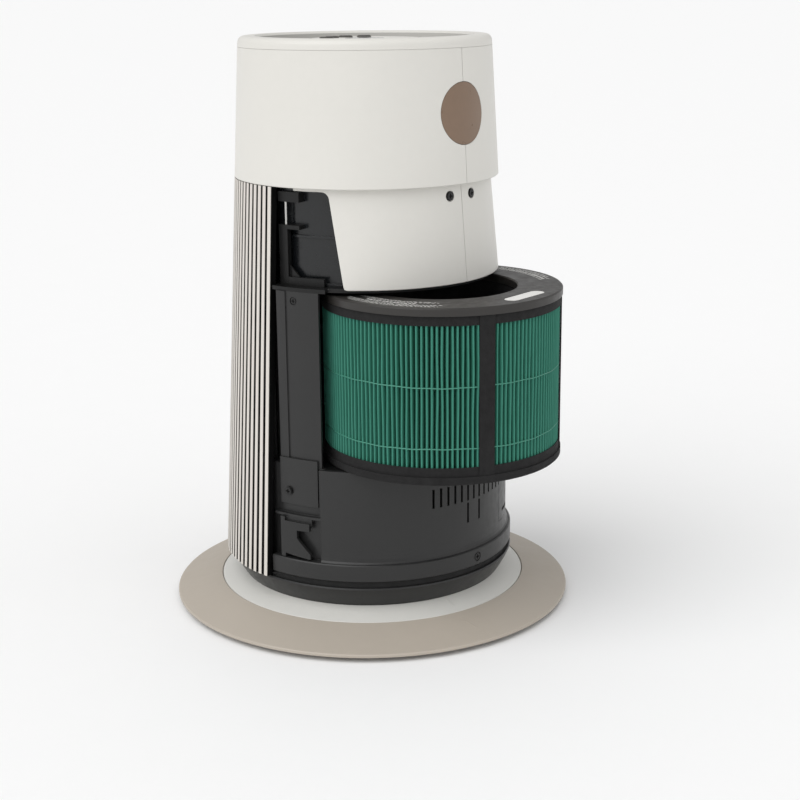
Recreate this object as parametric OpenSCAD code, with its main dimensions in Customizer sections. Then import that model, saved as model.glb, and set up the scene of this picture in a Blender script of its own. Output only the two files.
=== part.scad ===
// Column air purifier: round base, filter bay open at the back, fan section and outlet head.
// +Z is up, the origin is on the floor at the column's axis, and +Y is the back.
// The filter slides out at the back.
// A bearing is an angle about +Z counted from the back: positive towards -X, negative towards +X.

/* [Base disc] */
// Radius of the base disc
base_r = 160; // [140:1:200]
// Height of the disc's outer rim above the floor
rim_z = 6.4; // [6:0.1:9]
// Radius of the seam between the outer and inner rings
ring_seam_r = 123.5; // [120:0.5:130]
// Rise of the outer ring for each millimetre inwards
outer_slope = 0.288; // [0.25:0.005:0.32]
// Rise of the inner ring for each millimetre inwards
inner_slope = 0.348; // [0.3:0.005:0.38]
// Thickness of the rubber foot pad
pad_h = 1.2; // [1:0.1:2]
// Thickness of the steel ballast plate
ballast_t = 3; // [2:0.5:3]

/* [Lower body] */
// Radius of the foot where the bowl meets the disc
foot_r = 104.8; // [100:0.1:106]
// Radius of the bowl's top edge
bowl_r = 114; // [112:0.1:116]
// Height of the bowl's top edge
bowl_top_z = 40; // [36:0.5:44]
// Height of the recessed groove above the bowl
groove_h = 5.1; // [3:0.1:8]
// Depth of the groove under the band
groove_depth = 3; // [2:0.1:4]
// Radius of the band above the groove
band_r = 113.8; // [112:0.1:116]
// Height of the band
band_h = 13.4; // [8:0.1:18]
// Radius of the lower housing at the back
rear_r = 109.8; // [108:0.1:111]
// Radius of the drum behind the posts and the front cover
drum_r = 105.5; // [104:0.1:106]
// Bearing where the back wall steps in to the drum
rear_half_angle = 66.5; // [60:0.5:70]
// Wall thickness of the moulded shells
wall = 3; // [2:0.1:3.5]
// Height of the filter bay's floor
deck_z = 131; // [125:1:170]

/* [Filter] */
// Outer radius of the filter
filter_r = 92.2; // [85:0.1:92.5]
// Radius of the filter's bore
filter_bore_r = 57.7; // [45:0.1:62]
// Height of the filter
filter_h = 131.1; // [110:0.1:160]
// How far the filter is drawn out of the bay
filter_out = 76.7; // [0:0.1:120]
// Height of the filter's end rings
filter_ring_h = 6; // [4:0.5:10]
// Bearing of the first black strip over the media
filter_seam_angle = -27.5; // [-60:0.5:0]
// Bearing of the second black strip over the media
filter_strip_angle = 36; // [10:0.5:60]

/* [Fan section and head] */
// Outer radius of the column where the head meets the front cover
neck_r = 102.3; // [100:0.1:104]
// Widening of the column's radius for each millimetre downwards
column_taper = 0.0544; // [0.05:0.001:0.06]
// Height of the fan section, from the top of the bay to the head's lower edge
fan_section_h = 75.5; // [74:0.5:90]
// Height of the head
head_h = 105.5; // [100:0.5:140]
// Radius of the fan housing
fan_housing_r = 90; // [88:0.1:91]
// Tip radius of the impeller
impeller_r = 80; // [70:0.5:82]
// Number of impeller blades
blade_count = 11; // [7:1:17]
// Number of diffuser vanes
vane_count = 11; // [7:1:17]
// Radius of the motor's case
motor_r = 30; // [20:0.5:32]
// Radius of the motor's shaft
shaft_r = 3; // [2:0.1:4]
// Radius of the release button
button_r = 22.5; // [18:0.5:26]
// Travel of the release button
button_travel = 2.5; // [1:0.1:3]

/* [Front cover] */
// Thickness of the front cover, ribs included
cover_t = 6; // [5:0.1:7]
// Height of the ribs above the cover's shell
rib_h = 1; // [0.6:0.1:2]
// Width of one rib
rib_w = 3.3; // [2.5:0.1:3.5]
// Angle from one rib to the next
rib_pitch = 3.2; // [3:0.05:4]

/* [Outlet and controls] */
// Radius of the control pod
pod_r = 44.5; // [42:0.5:50]
// Radius of the outlet duct's bore
duct_r = 80; // [76:0.5:81]
// Number of outlet vanes
outlet_vane_count = 48; // [24:2:60]
// Radius of a control button
key_r = 5.5; // [4:0.1:6]
// Travel of a control button
key_travel = 1.2; // [0.8:0.1:1.5]

/* [Hidden] */
$fn = 96;

// Clearances
gap = 0.3;
seam_gap = 0.2;
slide_gap = 0.35;
eps = 0.01;

// Colours
taupe = [0.69, 0.65, 0.60];
pale_grey = [0.78, 0.78, 0.76];
shell_white = [0.88, 0.87, 0.85];
rib_white = [0.82, 0.79, 0.77];
dark_grey = [0.25, 0.25, 0.25];
near_black = [0.13, 0.13, 0.13];
black = [0.05, 0.05, 0.05];
steel = [0.72, 0.72, 0.72];
board_green = [0.10, 0.35, 0.20];
media_green = [0.15, 0.36, 0.28];
brown = [0.50, 0.40, 0.32];

// Base heights
ballast_z = pad_h + ballast_t;
pad_inset = 12;
seat_r = foot_r + 0.4;
seat_z = base_z(seat_r) - 0.8;
ring_t = 2.8;
base_screw_r = 136;
base_screw_count = 6;

// Lower body heights
groove_top_z = bowl_top_z + groove_h;
band_top_z = groove_top_z + band_h;
shoulder_z = band_top_z + 8.5;
groove_r = band_r - groove_depth;
side_end = 88.5;
recess_z = 93;
shelf_t = 2;
deck_t = 3;
ledge_w = 4;
ledge_t = 3;
ledge_z = deck_z - deck_t;
post_in_angle = rear_half_angle;
post_out_angle = 86;
bracket_drop = 30.5;
bracket_rise = 6;
bracket_t = 2;

// Cooling slots in the back wall
slot_w = 2;
slot_pitch = 3.45;
slot_count = 13;
slot_top_z = deck_z - 17.5;
slot_h = 15;
lower_slot_h = 16.2;
lower_slot_gap = 1.9;

// Sensor door
door_angle = 31;
door_half_angle = 10;
door_low_z = 67.5;
door_axis_z = 112;
door_axis_r = rear_r - 2.4;
door_t = 2.5;
door_knuckle_r = 1.9;
door_knuckle_x = 8;
door_knuckle_w = 6;
door_pin_r = 0.9;
door_pin_len = 34;

// Filter bay
filter_lift = 0.3;
filter_z0 = deck_z + filter_lift;
filter_z1 = filter_z0 + filter_h;
seal_t = 2.25;
plate_z = filter_z1 + slide_gap + seal_t;
plate_t = 3;
plate_top_z = plate_z + plate_t;
frame_r = drum_r - 6;
throat_r = filter_bore_r + 0.8;

// Fan section
neck_z = plate_z + fan_section_h;
top_z = neck_z + head_h;
hub_r = 36;
hub_z = neck_z - 15;
motor_z0 = hub_z - 7;
motor_len = 30;
back_disc_z = motor_z0 - 6;
blade_z0 = plate_top_z + 12;
fan_wall_top = neck_z - 0.5;
diffuser_ring_r = fan_housing_r - 3.3;
pin_r = 95;
pin_angle = 85;
pin_z0 = neck_z - 28;
pin_len = 17;
bracket_plate_t = 3;
catch_pin_r = 1;

// Skirt and head
skirt_t = 2.5;
skirt_top_r = neck_r - 6.1;
skirt_low_r = neck_r + 0.3;
skirt_low_z = plate_z + 2.2;
skirt_half_angle = 80;
skirt_screw_angle = 7.1;
skirt_screw_z = neck_z - 8.5;
collar_t = 3;
ring_h = 8;
collar_top_z = top_z - ring_h;
button_z = neck_z + 51;
stem_r = 4;
carrier_y0 = duct_r + 2.5 + button_travel + 2;
carrier_t = 2.5;
pod_top_z = top_z - 3;
board_t = 1.6;
board_z = pod_top_z - 13;
key_circle_r = 29;
key_angles = [225, 255, 285, 315];
lens_r = 15;

// ---- Helpers ----

// Height of the base disc's face at radius r
function base_z(r) = r > ring_seam_r
    ? rim_z + (base_r - r) * outer_slope
    : base_z(ring_seam_r + eps) + (ring_seam_r - r) * inner_slope;

// Radius of the column's outer face at height z
function column_r(z) = neck_r + (neck_z - z) * column_taper;

// Radius of the skirt's outer face at height z
function skirt_r(z) = skirt_top_r
    + (neck_z - z) * (skirt_low_r - skirt_top_r) / (neck_z - skirt_low_z);

// Turns a profile drawn in the r, z plane about the column from one bearing to another
module turn(from, to) {
    rotate([0, 0, 90 + from])
        rotate_extrude(angle = to - from)
            children();
}

// Curved bar between two bearings
module sector(from, to, r0, r1, z0, z1) {
    turn(from, to)
        translate([r0, z0])
            square([r1 - r0, z1 - z0]);
}

module ring(r0, r1, z0, z1) {
    rotate_extrude()
        translate([r0, z0])
            square([r1 - r0, z1 - z0]);
}

// Places a child so that its +Z points outwards at a bearing
module outward(angle, z, r = 0) {
    rotate([0, 0, 90 + angle])
        translate([r, 0, z])
            rotate([0, 90, 0])
                children();
}

module rod(r, z0, z1) {
    translate([0, 0, z0])
        cylinder(r = r, h = z1 - z0);
}

module both_sides() {
    children();
    mirror([1, 0, 0])
        children();
}

// Screw with a cross recess; its head sits on z = 0 and its shank points down
screw_head_r = 3.4;
small_head_r = 2.7;
screw_head_h = 2;
screw_shank_r = 1.5;
screw_hole_r = 1.65;

module screw(shank_len, head_r = screw_head_r) {
    recess_w = 0.9;
    recess_len = head_r + 0.2;
    recess_depth = 1.2;
    difference() {
        union() {
            rod(head_r - 0.6, 0, screw_head_h);
            rod(head_r, 0, screw_head_h - 0.6);
            rod(screw_shank_r, -shank_len, eps);
        }
        for (a = [0, 90])
            rotate([0, 0, a])
                translate([-recess_len / 2, -recess_w / 2, screw_head_h - recess_depth])
                    cube([recess_len, recess_w, recess_depth + 1]);
    }
}

module on_screw_circle() {
    for (i = [0 : base_screw_count - 1])
        rotate([0, 0, (i + 0.5) * 360 / base_screw_count])
            translate([base_screw_r, 0, 0])
                children();
}

// ---- Base ----

module foot_pad() {
    color(black)
        difference() {
            rod(base_r - pad_inset, 0, pad_h);
            on_screw_circle()
                rod(screw_head_r + 1, -1, pad_h + 1);
        }
}

module ballast_plate() {
    color(steel)
        difference() {
            rod(base_r - pad_inset, pad_h, ballast_z);
            on_screw_circle()
                rod(screw_hole_r, 0, ballast_z + 1);
        }
}

module base_outer_ring() {
    face_z = base_z(ring_seam_r);
    inner_wall = 2.2;
    rim_wall = 2.6;
    boss_r = 4.5;
    color(taupe)
        difference() {
            union() {
                rotate_extrude()
                    polygon([
                        [base_r - rim_wall, ballast_z],
                        [base_r, ballast_z],
                        [base_r, rim_z - 0.7],
                        [base_r - 0.8, rim_z + 0.23],
                        [ring_seam_r + 0.5, face_z - 0.5 * outer_slope],
                        [ring_seam_r, face_z - 0.6],
                        [ring_seam_r, ballast_z],
                        [ring_seam_r + inner_wall, ballast_z],
                        [ring_seam_r + inner_wall, face_z - ring_t - inner_wall * outer_slope],
                        [base_r - rim_wall, rim_z + rim_wall * outer_slope - ring_t + 0.2]
                    ]);
                on_screw_circle()
                    rod(boss_r, ballast_z, base_z(base_screw_r + boss_r) - 1);
            }
            on_screw_circle()
                rod(screw_hole_r, ballast_z - 1, base_z(base_screw_r) - 2.5);
        }
}

module base_inner_ring() {
    outer = ring_seam_r - gap;
    face_z = base_z(ring_seam_r);
    inner_wall = 2.2;
    seat_in_r = 40;
    color(pale_grey)
        rotate_extrude()
            polygon([
                [outer - inner_wall, ballast_z],
                [outer, ballast_z],
                [outer, face_z - 0.6],
                [outer - 0.5, face_z],
                [seat_r, base_z(seat_r)],
                [seat_r, seat_z],
                [seat_in_r, seat_z],
                [seat_in_r, ballast_z],
                [seat_in_r + inner_wall, ballast_z],
                [seat_in_r + inner_wall, seat_z - ring_t],
                [seat_r - 2, seat_z - ring_t],
                [outer - inner_wall, face_z - ring_t]
            ]);
}

module base_screws() {
    color(steel)
        on_screw_circle()
            translate([0, 0, pad_h])
                rotate([180, 0, 0])
                    difference() {
                        union() {
                            rod(screw_head_r, 0, pad_h - 0.4);
                            rod(screw_shank_r, -ballast_t - 4, eps);
                        }
                        rod(1.2, pad_h - 0.8, pad_h);
                    }
}

// ---- Lower body ----

standoff_h = 8;
bowl_floor_t = 3;
bowl_floor_z = seat_z + bowl_floor_t;
board_x = 60;
board_y = 38;

module at_board_corners() {
    inset = 6;
    for (sx = [-1, 1], sy = [-1, 1])
        translate([sx * (board_x - inset), sy * (board_y - inset), 0])
            children();
}

module foot_bowl() {
    lip = bowl_r - foot_r;
    rise = bowl_top_z - seat_z;
    bulge = 0.6;
    flare_h = rise - 1.2;
    color(dark_grey)
        union() {
            rotate_extrude()
                polygon(concat(
                    [[0, seat_z]],
                    [for (t = [0 : 0.125 : 1])
                        [foot_r + lip * t + bulge * sin(180 * t), seat_z + flare_h * t]],
                    [[bowl_r - 0.5, bowl_top_z], [groove_r - wall - 1, bowl_top_z]],
                    [[foot_r - wall, bowl_floor_z], [0, bowl_floor_z]]
                ));
            at_board_corners()
                rod(3.5, bowl_floor_z - eps, bowl_floor_z + standoff_h);
        }
}

module cooling_slots() {
    first = -(slot_count - 1) / 2;
    for (i = [0 : slot_count - 1])
        outward((first + i) * slot_pitch, slot_top_z - slot_h / 2, rear_r)
            translate([-slot_h / 2, -slot_w / 2, -2 * wall])
                cube([slot_h, slot_w, 3 * wall]);
    for (s = [-1, 1])
        outward(s * slot_pitch, slot_top_z - slot_h - lower_slot_gap - lower_slot_h / 2, rear_r)
            translate([-lower_slot_h / 2, -slot_w / 2, -2 * wall])
                cube([lower_slot_h, slot_w, 3 * wall]);
}

inlet_angle = 54;
inlet_z = 86;
inlet_w = 24;
inlet_h = 17;

// Front half of the lower body, behind the front cover
module front_housing() {
    inner = drum_r - wall;
    color(dark_grey)
        turn(side_end + seam_gap / 2, 360 - side_end - seam_gap / 2)
            polygon([
                [inner, bowl_top_z], [groove_r, bowl_top_z], [groove_r, bowl_top_z + wall],
                [drum_r, bowl_top_z + wall], [drum_r, deck_z], [inner, deck_z],
                [inner, ledge_z], [inner - ledge_w, ledge_z],
                [inner - ledge_w, ledge_z - ledge_t], [inner, ledge_z - ledge_t]
            ]);
}

// Back of the lower body: band, shoulder and wall, stepped in beside the posts
module lower_housing() {
    door_edge = door_half_angle + 0.2;
    half_wall = wall / 2;
    color(dark_grey)
        difference() {
            union() {
                // groove and band
                turn(-side_end, side_end)
                    polygon([
                        [groove_r, bowl_top_z], [groove_r, groove_top_z],
                        [band_r - 0.5, groove_top_z], [band_r, groove_top_z + 0.5],
                        [band_r, band_top_z - 0.8], [band_r - 0.8, band_top_z],
                        [rear_r - wall - 0.6, band_top_z],
                        [groove_r - wall, groove_top_z], [groove_r - wall, bowl_top_z]
                    ]);
                // shoulder and back wall
                turn(-rear_half_angle, rear_half_angle)
                    polygon([
                        [rear_r - wall, band_top_z - 1], [rear_r + 2, band_top_z - 1],
                        [rear_r + 2, band_top_z + 0.3], [rear_r + 1.1, band_top_z + 1.6],
                        [rear_r + 0.4, band_top_z + 4], [rear_r, shoulder_z],
                        [rear_r, deck_z], [rear_r - wall, deck_z]
                    ]);
                sector(-rear_half_angle + 0.5, rear_half_angle - 0.5,
                    drum_r - wall - ledge_w, rear_r - half_wall, ledge_z - ledge_t, ledge_z);
                both_sides() {
                    // drum beside the post, with the floor and the roof of the hook's pocket
                    sector(-side_end, -rear_half_angle + 1.5, drum_r - wall, drum_r,
                        band_top_z - 2.2, deck_z);
                    sector(-side_end + 0.2, -rear_half_angle + 0.3, drum_r - half_wall, rear_r,
                        band_top_z - 2, band_top_z - 0.2);
                    sector(-side_end + 0.2, -rear_half_angle + 0.3, drum_r - half_wall, rear_r - 0.1,
                        recess_z - shelf_t, recess_z);
                    // step between the back wall and the drum
                    sector(-rear_half_angle - 0.8, -rear_half_angle + 1.3,
                        drum_r - half_wall, rear_r - half_wall, band_top_z - 1.5, deck_z - 0.5);
                    // end wall of the band
                    sector(-side_end + 0.3, -side_end + 1.8, drum_r - half_wall, groove_r - half_wall,
                        bowl_top_z + 1, band_top_z - 1.5);
                }
                // shelf that carries the sensor
                sector(door_angle - 12, door_angle + 12, 82, rear_r - half_wall, 72, 75);
            }
            // opening of the sensor door
            sector(door_angle - door_edge, door_angle + door_edge, drum_r - 1, rear_r + 3,
                door_low_z - gap, door_axis_z + door_knuckle_r + gap);
            // seats for the ends of the door's pin
            outward(door_angle, door_axis_z, door_axis_r)
                rotate([90, 0, 0])
                    rod(door_pin_r, -door_pin_len / 2, door_pin_len / 2);
            cooling_slots();
            // hole for the mains inlet
            outward(inlet_angle, inlet_z, rear_r)
                translate([-inlet_h / 2, -inlet_w / 2, -3 * wall])
                    cube([inlet_h, inlet_w, 6 * wall]);
            // screw holes
            outward(0, groove_top_z + band_h / 2, band_r) {
                rod(screw_head_r + 0.3, -screw_head_h, 3);
                rod(screw_hole_r, -3 * wall, 1);
            }
            both_sides()
                outward(-bracket_screw_angle, bracket_screw_z, drum_r)
                    rod(screw_hole_r, -2 * wall, wall);
        }
}

module bay_deck() {
    color(near_black)
        union() {
            rod(drum_r - wall - gap, deck_z - deck_t, deck_z);
            sector(-rear_half_angle + 1.3, rear_half_angle - 1.3, drum_r - wall - 2, rear_r - wall - gap,
                deck_z - deck_t, deck_z);
        }
}

module power_board() {
    z0 = bowl_floor_z + standoff_h;
    color(board_green)
        translate([-board_x, -board_y, z0])
            cube([2 * board_x, 2 * board_y, board_t]);
}

module power_board_parts() {
    z0 = bowl_floor_z + standoff_h + board_t;
    color(near_black)
        union() {
            translate([-48, -24, z0])
                cube([34, 30, 26]);
            translate([14, -28, z0])
                cube([12, 44, 30]);
            for (y = [-20, 0, 20])
                translate([42, y, 0])
                    rod(8, z0, z0 + 32);
            translate([-42, 22, 0])
                rod(6, z0, z0 + 18);
            translate([-20, 14, z0])
                cube([26, 18, 14]);
        }
}

module power_inlet() {
    slot_r = 4.4;
    slot_x = 4.2;
    depth = 15;
    pin_hole_r = 1.2;
    color(black)
        outward(inlet_angle, inlet_z, rear_r) {
            difference() {
                union() {
                    translate([-inlet_h / 2 + gap, -inlet_w / 2 + gap, -19])
                        cube([inlet_h - 2 * gap, inlet_w - 2 * gap, 19.4]);
                    translate([-inlet_h / 2 - 3, -inlet_w / 2 - 4, -8.5])
                        cube([inlet_h + 6, inlet_w + 8, 3]);
                }
                for (s = [-1, 1])
                    translate([0, s * slot_x, 0])
                        rod(slot_r, 0.4 - depth, 2);
                translate([-slot_r, -slot_x, 0.4 - depth])
                    cube([2 * slot_r, 2 * slot_x, depth + 2]);
            }
            for (s = [-1, 1])
                translate([0, s * slot_x, 0])
                    rod(pin_hole_r, -depth, -3);
        }
}

module sensor_module() {
    box_w = 40;
    box_h = 28;
    box_d = 20;
    front_r = 102.5;
    color(near_black)
        outward(door_angle, 75 + box_h / 2, front_r)
            difference() {
                translate([-box_h / 2, -box_w / 2, -box_d])
                    cube([box_h, box_w, box_d]);
                translate([0, 8, 0])
                    rod(5, -10, 1);
                translate([0, -8, 0])
                    rod(2.5, -6, 1);
            }
}

// Door with two knuckles on a pin along its top edge
module sensor_door() {
    inner = rear_r - door_t;
    top = door_axis_z - 0.5;
    color(dark_grey)
        difference() {
            union() {
                difference() {
                    turn(door_angle - door_half_angle, door_angle + door_half_angle)
                        polygon([
                            [inner, door_low_z],
                            [rear_r, door_low_z],
                            [rear_r, top - 2],
                            [rear_r - 1.9, top],
                            [inner, top]
                        ]);
                    // finger slot
                    outward(door_angle, door_low_z + 7, rear_r)
                        translate([-1.2, -10, -1.6])
                            cube([2.4, 20, 6]);
                }
                for (s = [-1, 1])
                    outward(door_angle, door_axis_z, door_axis_r)
                        rotate([90, 0, 0])
                            rod(door_knuckle_r, s * door_knuckle_x - door_knuckle_w / 2,
                                s * door_knuckle_x + door_knuckle_w / 2);
            }
            outward(door_angle, door_axis_z, door_axis_r)
                rotate([90, 0, 0])
                    rod(door_pin_r + 0.06, -door_pin_len, door_pin_len);
        }
}

module sensor_door_pin() {
    color(steel)
        outward(door_angle, door_axis_z, door_axis_r)
            rotate([90, 0, 0])
                rod(door_pin_r, -door_pin_len / 2, door_pin_len / 2);
}

// C-shaped catch for the rear cover, on the +X side
module cover_hook() {
    plate_r = 109.2;
    plate_t2 = 2.8;
    low = band_top_z + 3.5;
    color(dark_grey)
        union() {
            intersection() {
                sector(-83, -70, plate_r, plate_r + plate_t2, low - 5, recess_z);
                outward(-76.5, 0, plate_r - 10)
                    rotate([0, 0, 90])
                        linear_extrude(30)
                            polygon([
                                [-13, 88], [-13, low], [11, low - 2.5], [11, low + 1.5], [1.5, 73],
                                [-0.5, 75.5], [-0.5, 81.5], [10.5, 82], [10.5, 88]
                            ]);
            }
            sector(-84.5, -82.4, drum_r, plate_r + plate_t2, band_top_z, recess_z - shelf_t);
            sector(-82.6, -70.5, drum_r, plate_r + 0.6, 86, recess_z - shelf_t);
        }
}

module left_cover_hook() {
    cover_hook();
}

module right_cover_hook() {
    mirror([1, 0, 0])
        cover_hook();
}

post_screw_angle = 77.8;
post_screw_z = plate_z - 7;
bracket_screw_angle = 81.4;
bracket_screw_z = deck_z - 20;

// Upright beside the bay, on the +X side
module bay_post() {
    color(dark_grey)
        difference() {
            union() {
                sector(-post_out_angle, -post_in_angle, drum_r - wall, drum_r, deck_z, plate_z);
                sector(-post_out_angle, -post_out_angle + 4.5, drum_r - 1, drum_r + 1,
                    deck_z + bracket_rise, plate_z);
            }
            outward(-post_screw_angle, post_screw_z, drum_r) {
                rod(small_head_r + 0.3, -screw_head_h, 3);
                rod(screw_hole_r, -2 * wall, 1);
            }
        }
}

module left_post() {
    bay_post();
}

module right_post() {
    mirror([1, 0, 0])
        bay_post();
}

// Plate that ties the post to the drum, on the +X side
module post_bracket() {
    color(dark_grey)
        difference() {
            sector(-post_out_angle, -post_in_angle - 1.5, drum_r, drum_r + bracket_t,
                deck_z - bracket_drop, deck_z + bracket_rise);
            outward(-bracket_screw_angle, bracket_screw_z, drum_r)
                rod(screw_hole_r, -1, wall);
        }
}

module left_post_bracket() {
    post_bracket();
}

module right_post_bracket() {
    mirror([1, 0, 0])
        post_bracket();
}

module housing_screws() {
    color(near_black)
        union() {
            outward(0, groove_top_z + band_h / 2, band_r - screw_head_h)
                screw(4);
            both_sides() {
                outward(-post_screw_angle, post_screw_z, drum_r - screw_head_h)
                    screw(2.7, small_head_r);
                outward(-bracket_screw_angle, bracket_screw_z, drum_r + bracket_t)
                    screw(5);
            }
        }
}

// ---- Front ----

// Lattice at the front of the bay
module front_frame() {
    columns = 9;
    rows = 4;
    span = 360 - 2 * side_end;
    bay_h = plate_z - deck_z;
    cell_w = 13;
    cell_h = bay_h / rows - 7;
    color(near_black)
        difference() {
            sector(side_end, 360 - side_end, frame_r - wall, frame_r, deck_z, plate_z);
            for (i = [0 : columns - 1], j = [0 : rows - 1])
                outward(side_end + (i + 0.5) * span / columns, deck_z + (j + 0.5) * bay_h / rows, frame_r)
                    translate([-cell_h / 2, -cell_w, -2 * wall])
                        cube([cell_h, 2 * cell_w, 3 * wall]);
        }
}

cover_end = 89.4;
cover_z0 = bowl_top_z + 1;
cover_z1 = neck_z - gap;
rib_count = floor((360 - 2 * cover_end) / rib_pitch) + 1;

module front_grille_shell() {
    skin_in = cover_t;
    intake_w = 1.8;
    intake_z0 = deck_z + 6;
    intake_h = plate_z - deck_z - 12;
    taper_angle = atan(column_taper);
    color(black)
        union() {
            difference() {
                turn(cover_end, 360 - cover_end)
                    polygon([
                        [column_r(cover_z0) - skin_in, cover_z0],
                        [column_r(cover_z0) - rib_h, cover_z0],
                        [column_r(cover_z1) - rib_h, cover_z1],
                        [column_r(cover_z1) - skin_in, cover_z1]
                    ]);
                // one intake slot between each pair of ribs
                for (i = [0 : rib_count - 2])
                    outward(180 + (i + 0.5 - (rib_count - 1) / 2) * rib_pitch, intake_z0 + intake_h / 2,
                            column_r(intake_z0 + intake_h / 2))
                        rotate([0, -taper_angle, 0])
                            translate([-intake_h / 2, -intake_w / 2, -2 * skin_in])
                                cube([intake_h, intake_w, 3 * skin_in]);
            }
            // webs that stand on the drum
            for (a = [125, 180, 235])
                sector(a - 1, a + 1, drum_r, column_r(deck_z) - skin_in + 1, band_top_z + 4, deck_z - 4);
        }
}

module front_grille_ribs() {
    rib_len = (cover_z1 - cover_z0) / cos(atan(column_taper));
    color(rib_white)
        for (i = [0 : rib_count - 1])
            outward(180 + (i - (rib_count - 1) / 2) * rib_pitch, cover_z0, column_r(cover_z0) - rib_h)
                rotate([0, -atan(column_taper), 0])
                    translate([-rib_len, -rib_w / 2, 0])
                        cube([rib_len, rib_w, rib_h]);
}

// ---- Fan section ----

module bay_top_plate() {
    lug_h = 14;
    color(near_black)
        difference() {
            union() {
                ring(throat_r, frame_r, plate_z, plate_top_z);
                both_sides() {
                    sector(-side_end, -post_in_angle + 3, frame_r - 2, drum_r, plate_z, plate_top_z);
                    sector(-post_screw_angle - 5, -post_screw_angle + 5,
                        drum_r - wall - 2.5, drum_r - wall, plate_z - lug_h, plate_z + 1);
                }
            }
            both_sides()
                outward(-post_screw_angle, post_screw_z, drum_r)
                    rod(screw_hole_r, -3 * wall, 1);
        }
}

module filter_seal() {
    color(black)
        ring(filter_bore_r + 8, filter_bore_r + 20, plate_z - seal_t, plate_z);
}

module bellmouth() {
    flare = 5;
    tube_t = 1.6;
    color(near_black)
        rotate_extrude()
            polygon(concat(
                [[throat_r + flare + 3, plate_top_z]],
                [[throat_r + flare + 3, plate_top_z + tube_t], [throat_r + flare, plate_top_z + tube_t]],
                [for (a = [0 : 15 : 90])
                    [throat_r + tube_t + (flare - tube_t) * (1 - sin(a)),
                     plate_top_z + tube_t + 4 * (1 - cos(a))]],
                [[throat_r + tube_t, plate_top_z + 10], [throat_r, plate_top_z + 10],
                 [throat_r, plate_top_z]]
            ));
}

module fan_housing() {
    flange_r = skirt_r(neck_z) - skirt_t - 0.2;
    boss_r = 5;
    color(near_black)
        difference() {
            union() {
                ring(fan_housing_r - wall, fan_housing_r, plate_top_z, fan_wall_top);
                ring(fan_housing_r - 1, fan_housing_r + 1.2, neck_z - 37.5, neck_z - 35.5);
                ring(fan_housing_r - 1, flange_r, fan_wall_top - 3, fan_wall_top);
                ring(fan_housing_r - 1, fan_housing_r + 3, plate_top_z, plate_top_z + 2);
                intersection() {
                    ring(fan_housing_r - 1, skirt_r(fan_wall_top) - skirt_t - 0.1,
                        skirt_screw_z - 10, skirt_screw_z + 6);
                    for (s = [-1, 1])
                        outward(s * skirt_screw_angle, skirt_screw_z, fan_housing_r - 1)
                            rod(boss_r, 0, 10);
                }
            }
            for (s = [-1, 1])
                outward(s * skirt_screw_angle, skirt_screw_z, fan_housing_r)
                    rod(screw_hole_r, -2 * wall, 8);
        }
}

// Outline of one swept vane between two radii
module vane(r_in, r_out, sweep, thick) {
    steps = 8;
    function point(i, side) =
        let (t = i / steps, r = r_in + (r_out - r_in) * t, a = -sweep * t)
        [r * cos(a) + side * thick / 2 * sin(a), r * sin(a) + side * thick / 2 * cos(a)];
    polygon(concat(
        [for (i = [0 : steps]) point(i, 1)],
        [for (i = [steps : -1 : 0]) point(i, -1)]
    ));
}

// One backward-curved blade, cut from a thin tube
module blade(h) {
    arc_r = 42;
    thick = 1.6;
    offset_y = 40;
    blade_len = 35;
    intersection() {
        translate([impeller_r - arc_r, -offset_y, 0])
            difference() {
                cylinder(r = arc_r, h = h);
                translate([0, 0, -1])
                    cylinder(r = arc_r - thick, h = h + 2);
            }
        rotate([0, 0, -40])
            translate([impeller_r - blade_len, 0, 0])
                cube([50, 50, h]);
        cylinder(r = impeller_r - 2, h = h);
    }
}

module impeller() {
    disc_t = 2;
    inlet_r = throat_r + 2.6;
    color(shell_white)
        difference() {
            union() {
                rod(impeller_r, back_disc_z, back_disc_z + disc_t);
                rod(9, back_disc_z - 14, back_disc_z + disc_t);
                for (i = [0 : blade_count - 1])
                    rotate([0, 0, i * 360 / blade_count])
                        translate([0, 0, blade_z0])
                            blade(back_disc_z - blade_z0 + disc_t / 2);
                // shroud with its inlet collar
                rotate_extrude()
                    polygon([
                        [inlet_r, blade_z0 - 5], [inlet_r + 1.8, blade_z0 - 5],
                        [inlet_r + 1.8, blade_z0 - 1], [impeller_r - 0.4, blade_z0 - 1],
                        [impeller_r - 0.4, blade_z0 + 1], [inlet_r, blade_z0 + 1]
                    ]);
            }
            rod(shaft_r, back_disc_z - 20, back_disc_z + 10);
        }
}

module motor_rotor() {
    color(steel)
        difference() {
            rod(motor_r - 6, motor_z0 + 7, motor_z0 + motor_len - 7);
            rod(shaft_r, motor_z0, motor_z0 + motor_len);
        }
}

module motor_shaft() {
    color(steel)
        rod(shaft_r, back_disc_z - 16, motor_z0 + motor_len - 1);
}

bearing_r = 8;
bearing_t = 5;

module motor_body() {
    color(steel)
        difference() {
            rod(motor_r, motor_z0, motor_z0 + motor_len);
            rod(motor_r - 5, motor_z0 + 6.5, motor_z0 + motor_len - 6.5);
            rod(bearing_r, motor_z0 - 1, motor_z0 + bearing_t);
            rod(bearing_r, motor_z0 + motor_len - bearing_t, motor_z0 + motor_len + 1);
            rod(shaft_r + 1.5, motor_z0 - 1, motor_z0 + motor_len + 1);
        }
}

module motor_bearings() {
    color(steel)
        for (z = [motor_z0, motor_z0 + motor_len - bearing_t])
            difference() {
                rod(bearing_r, z, z + bearing_t);
                rod(shaft_r + 0.03, z - 1, z + bearing_t + 1);
            }
}

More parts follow.
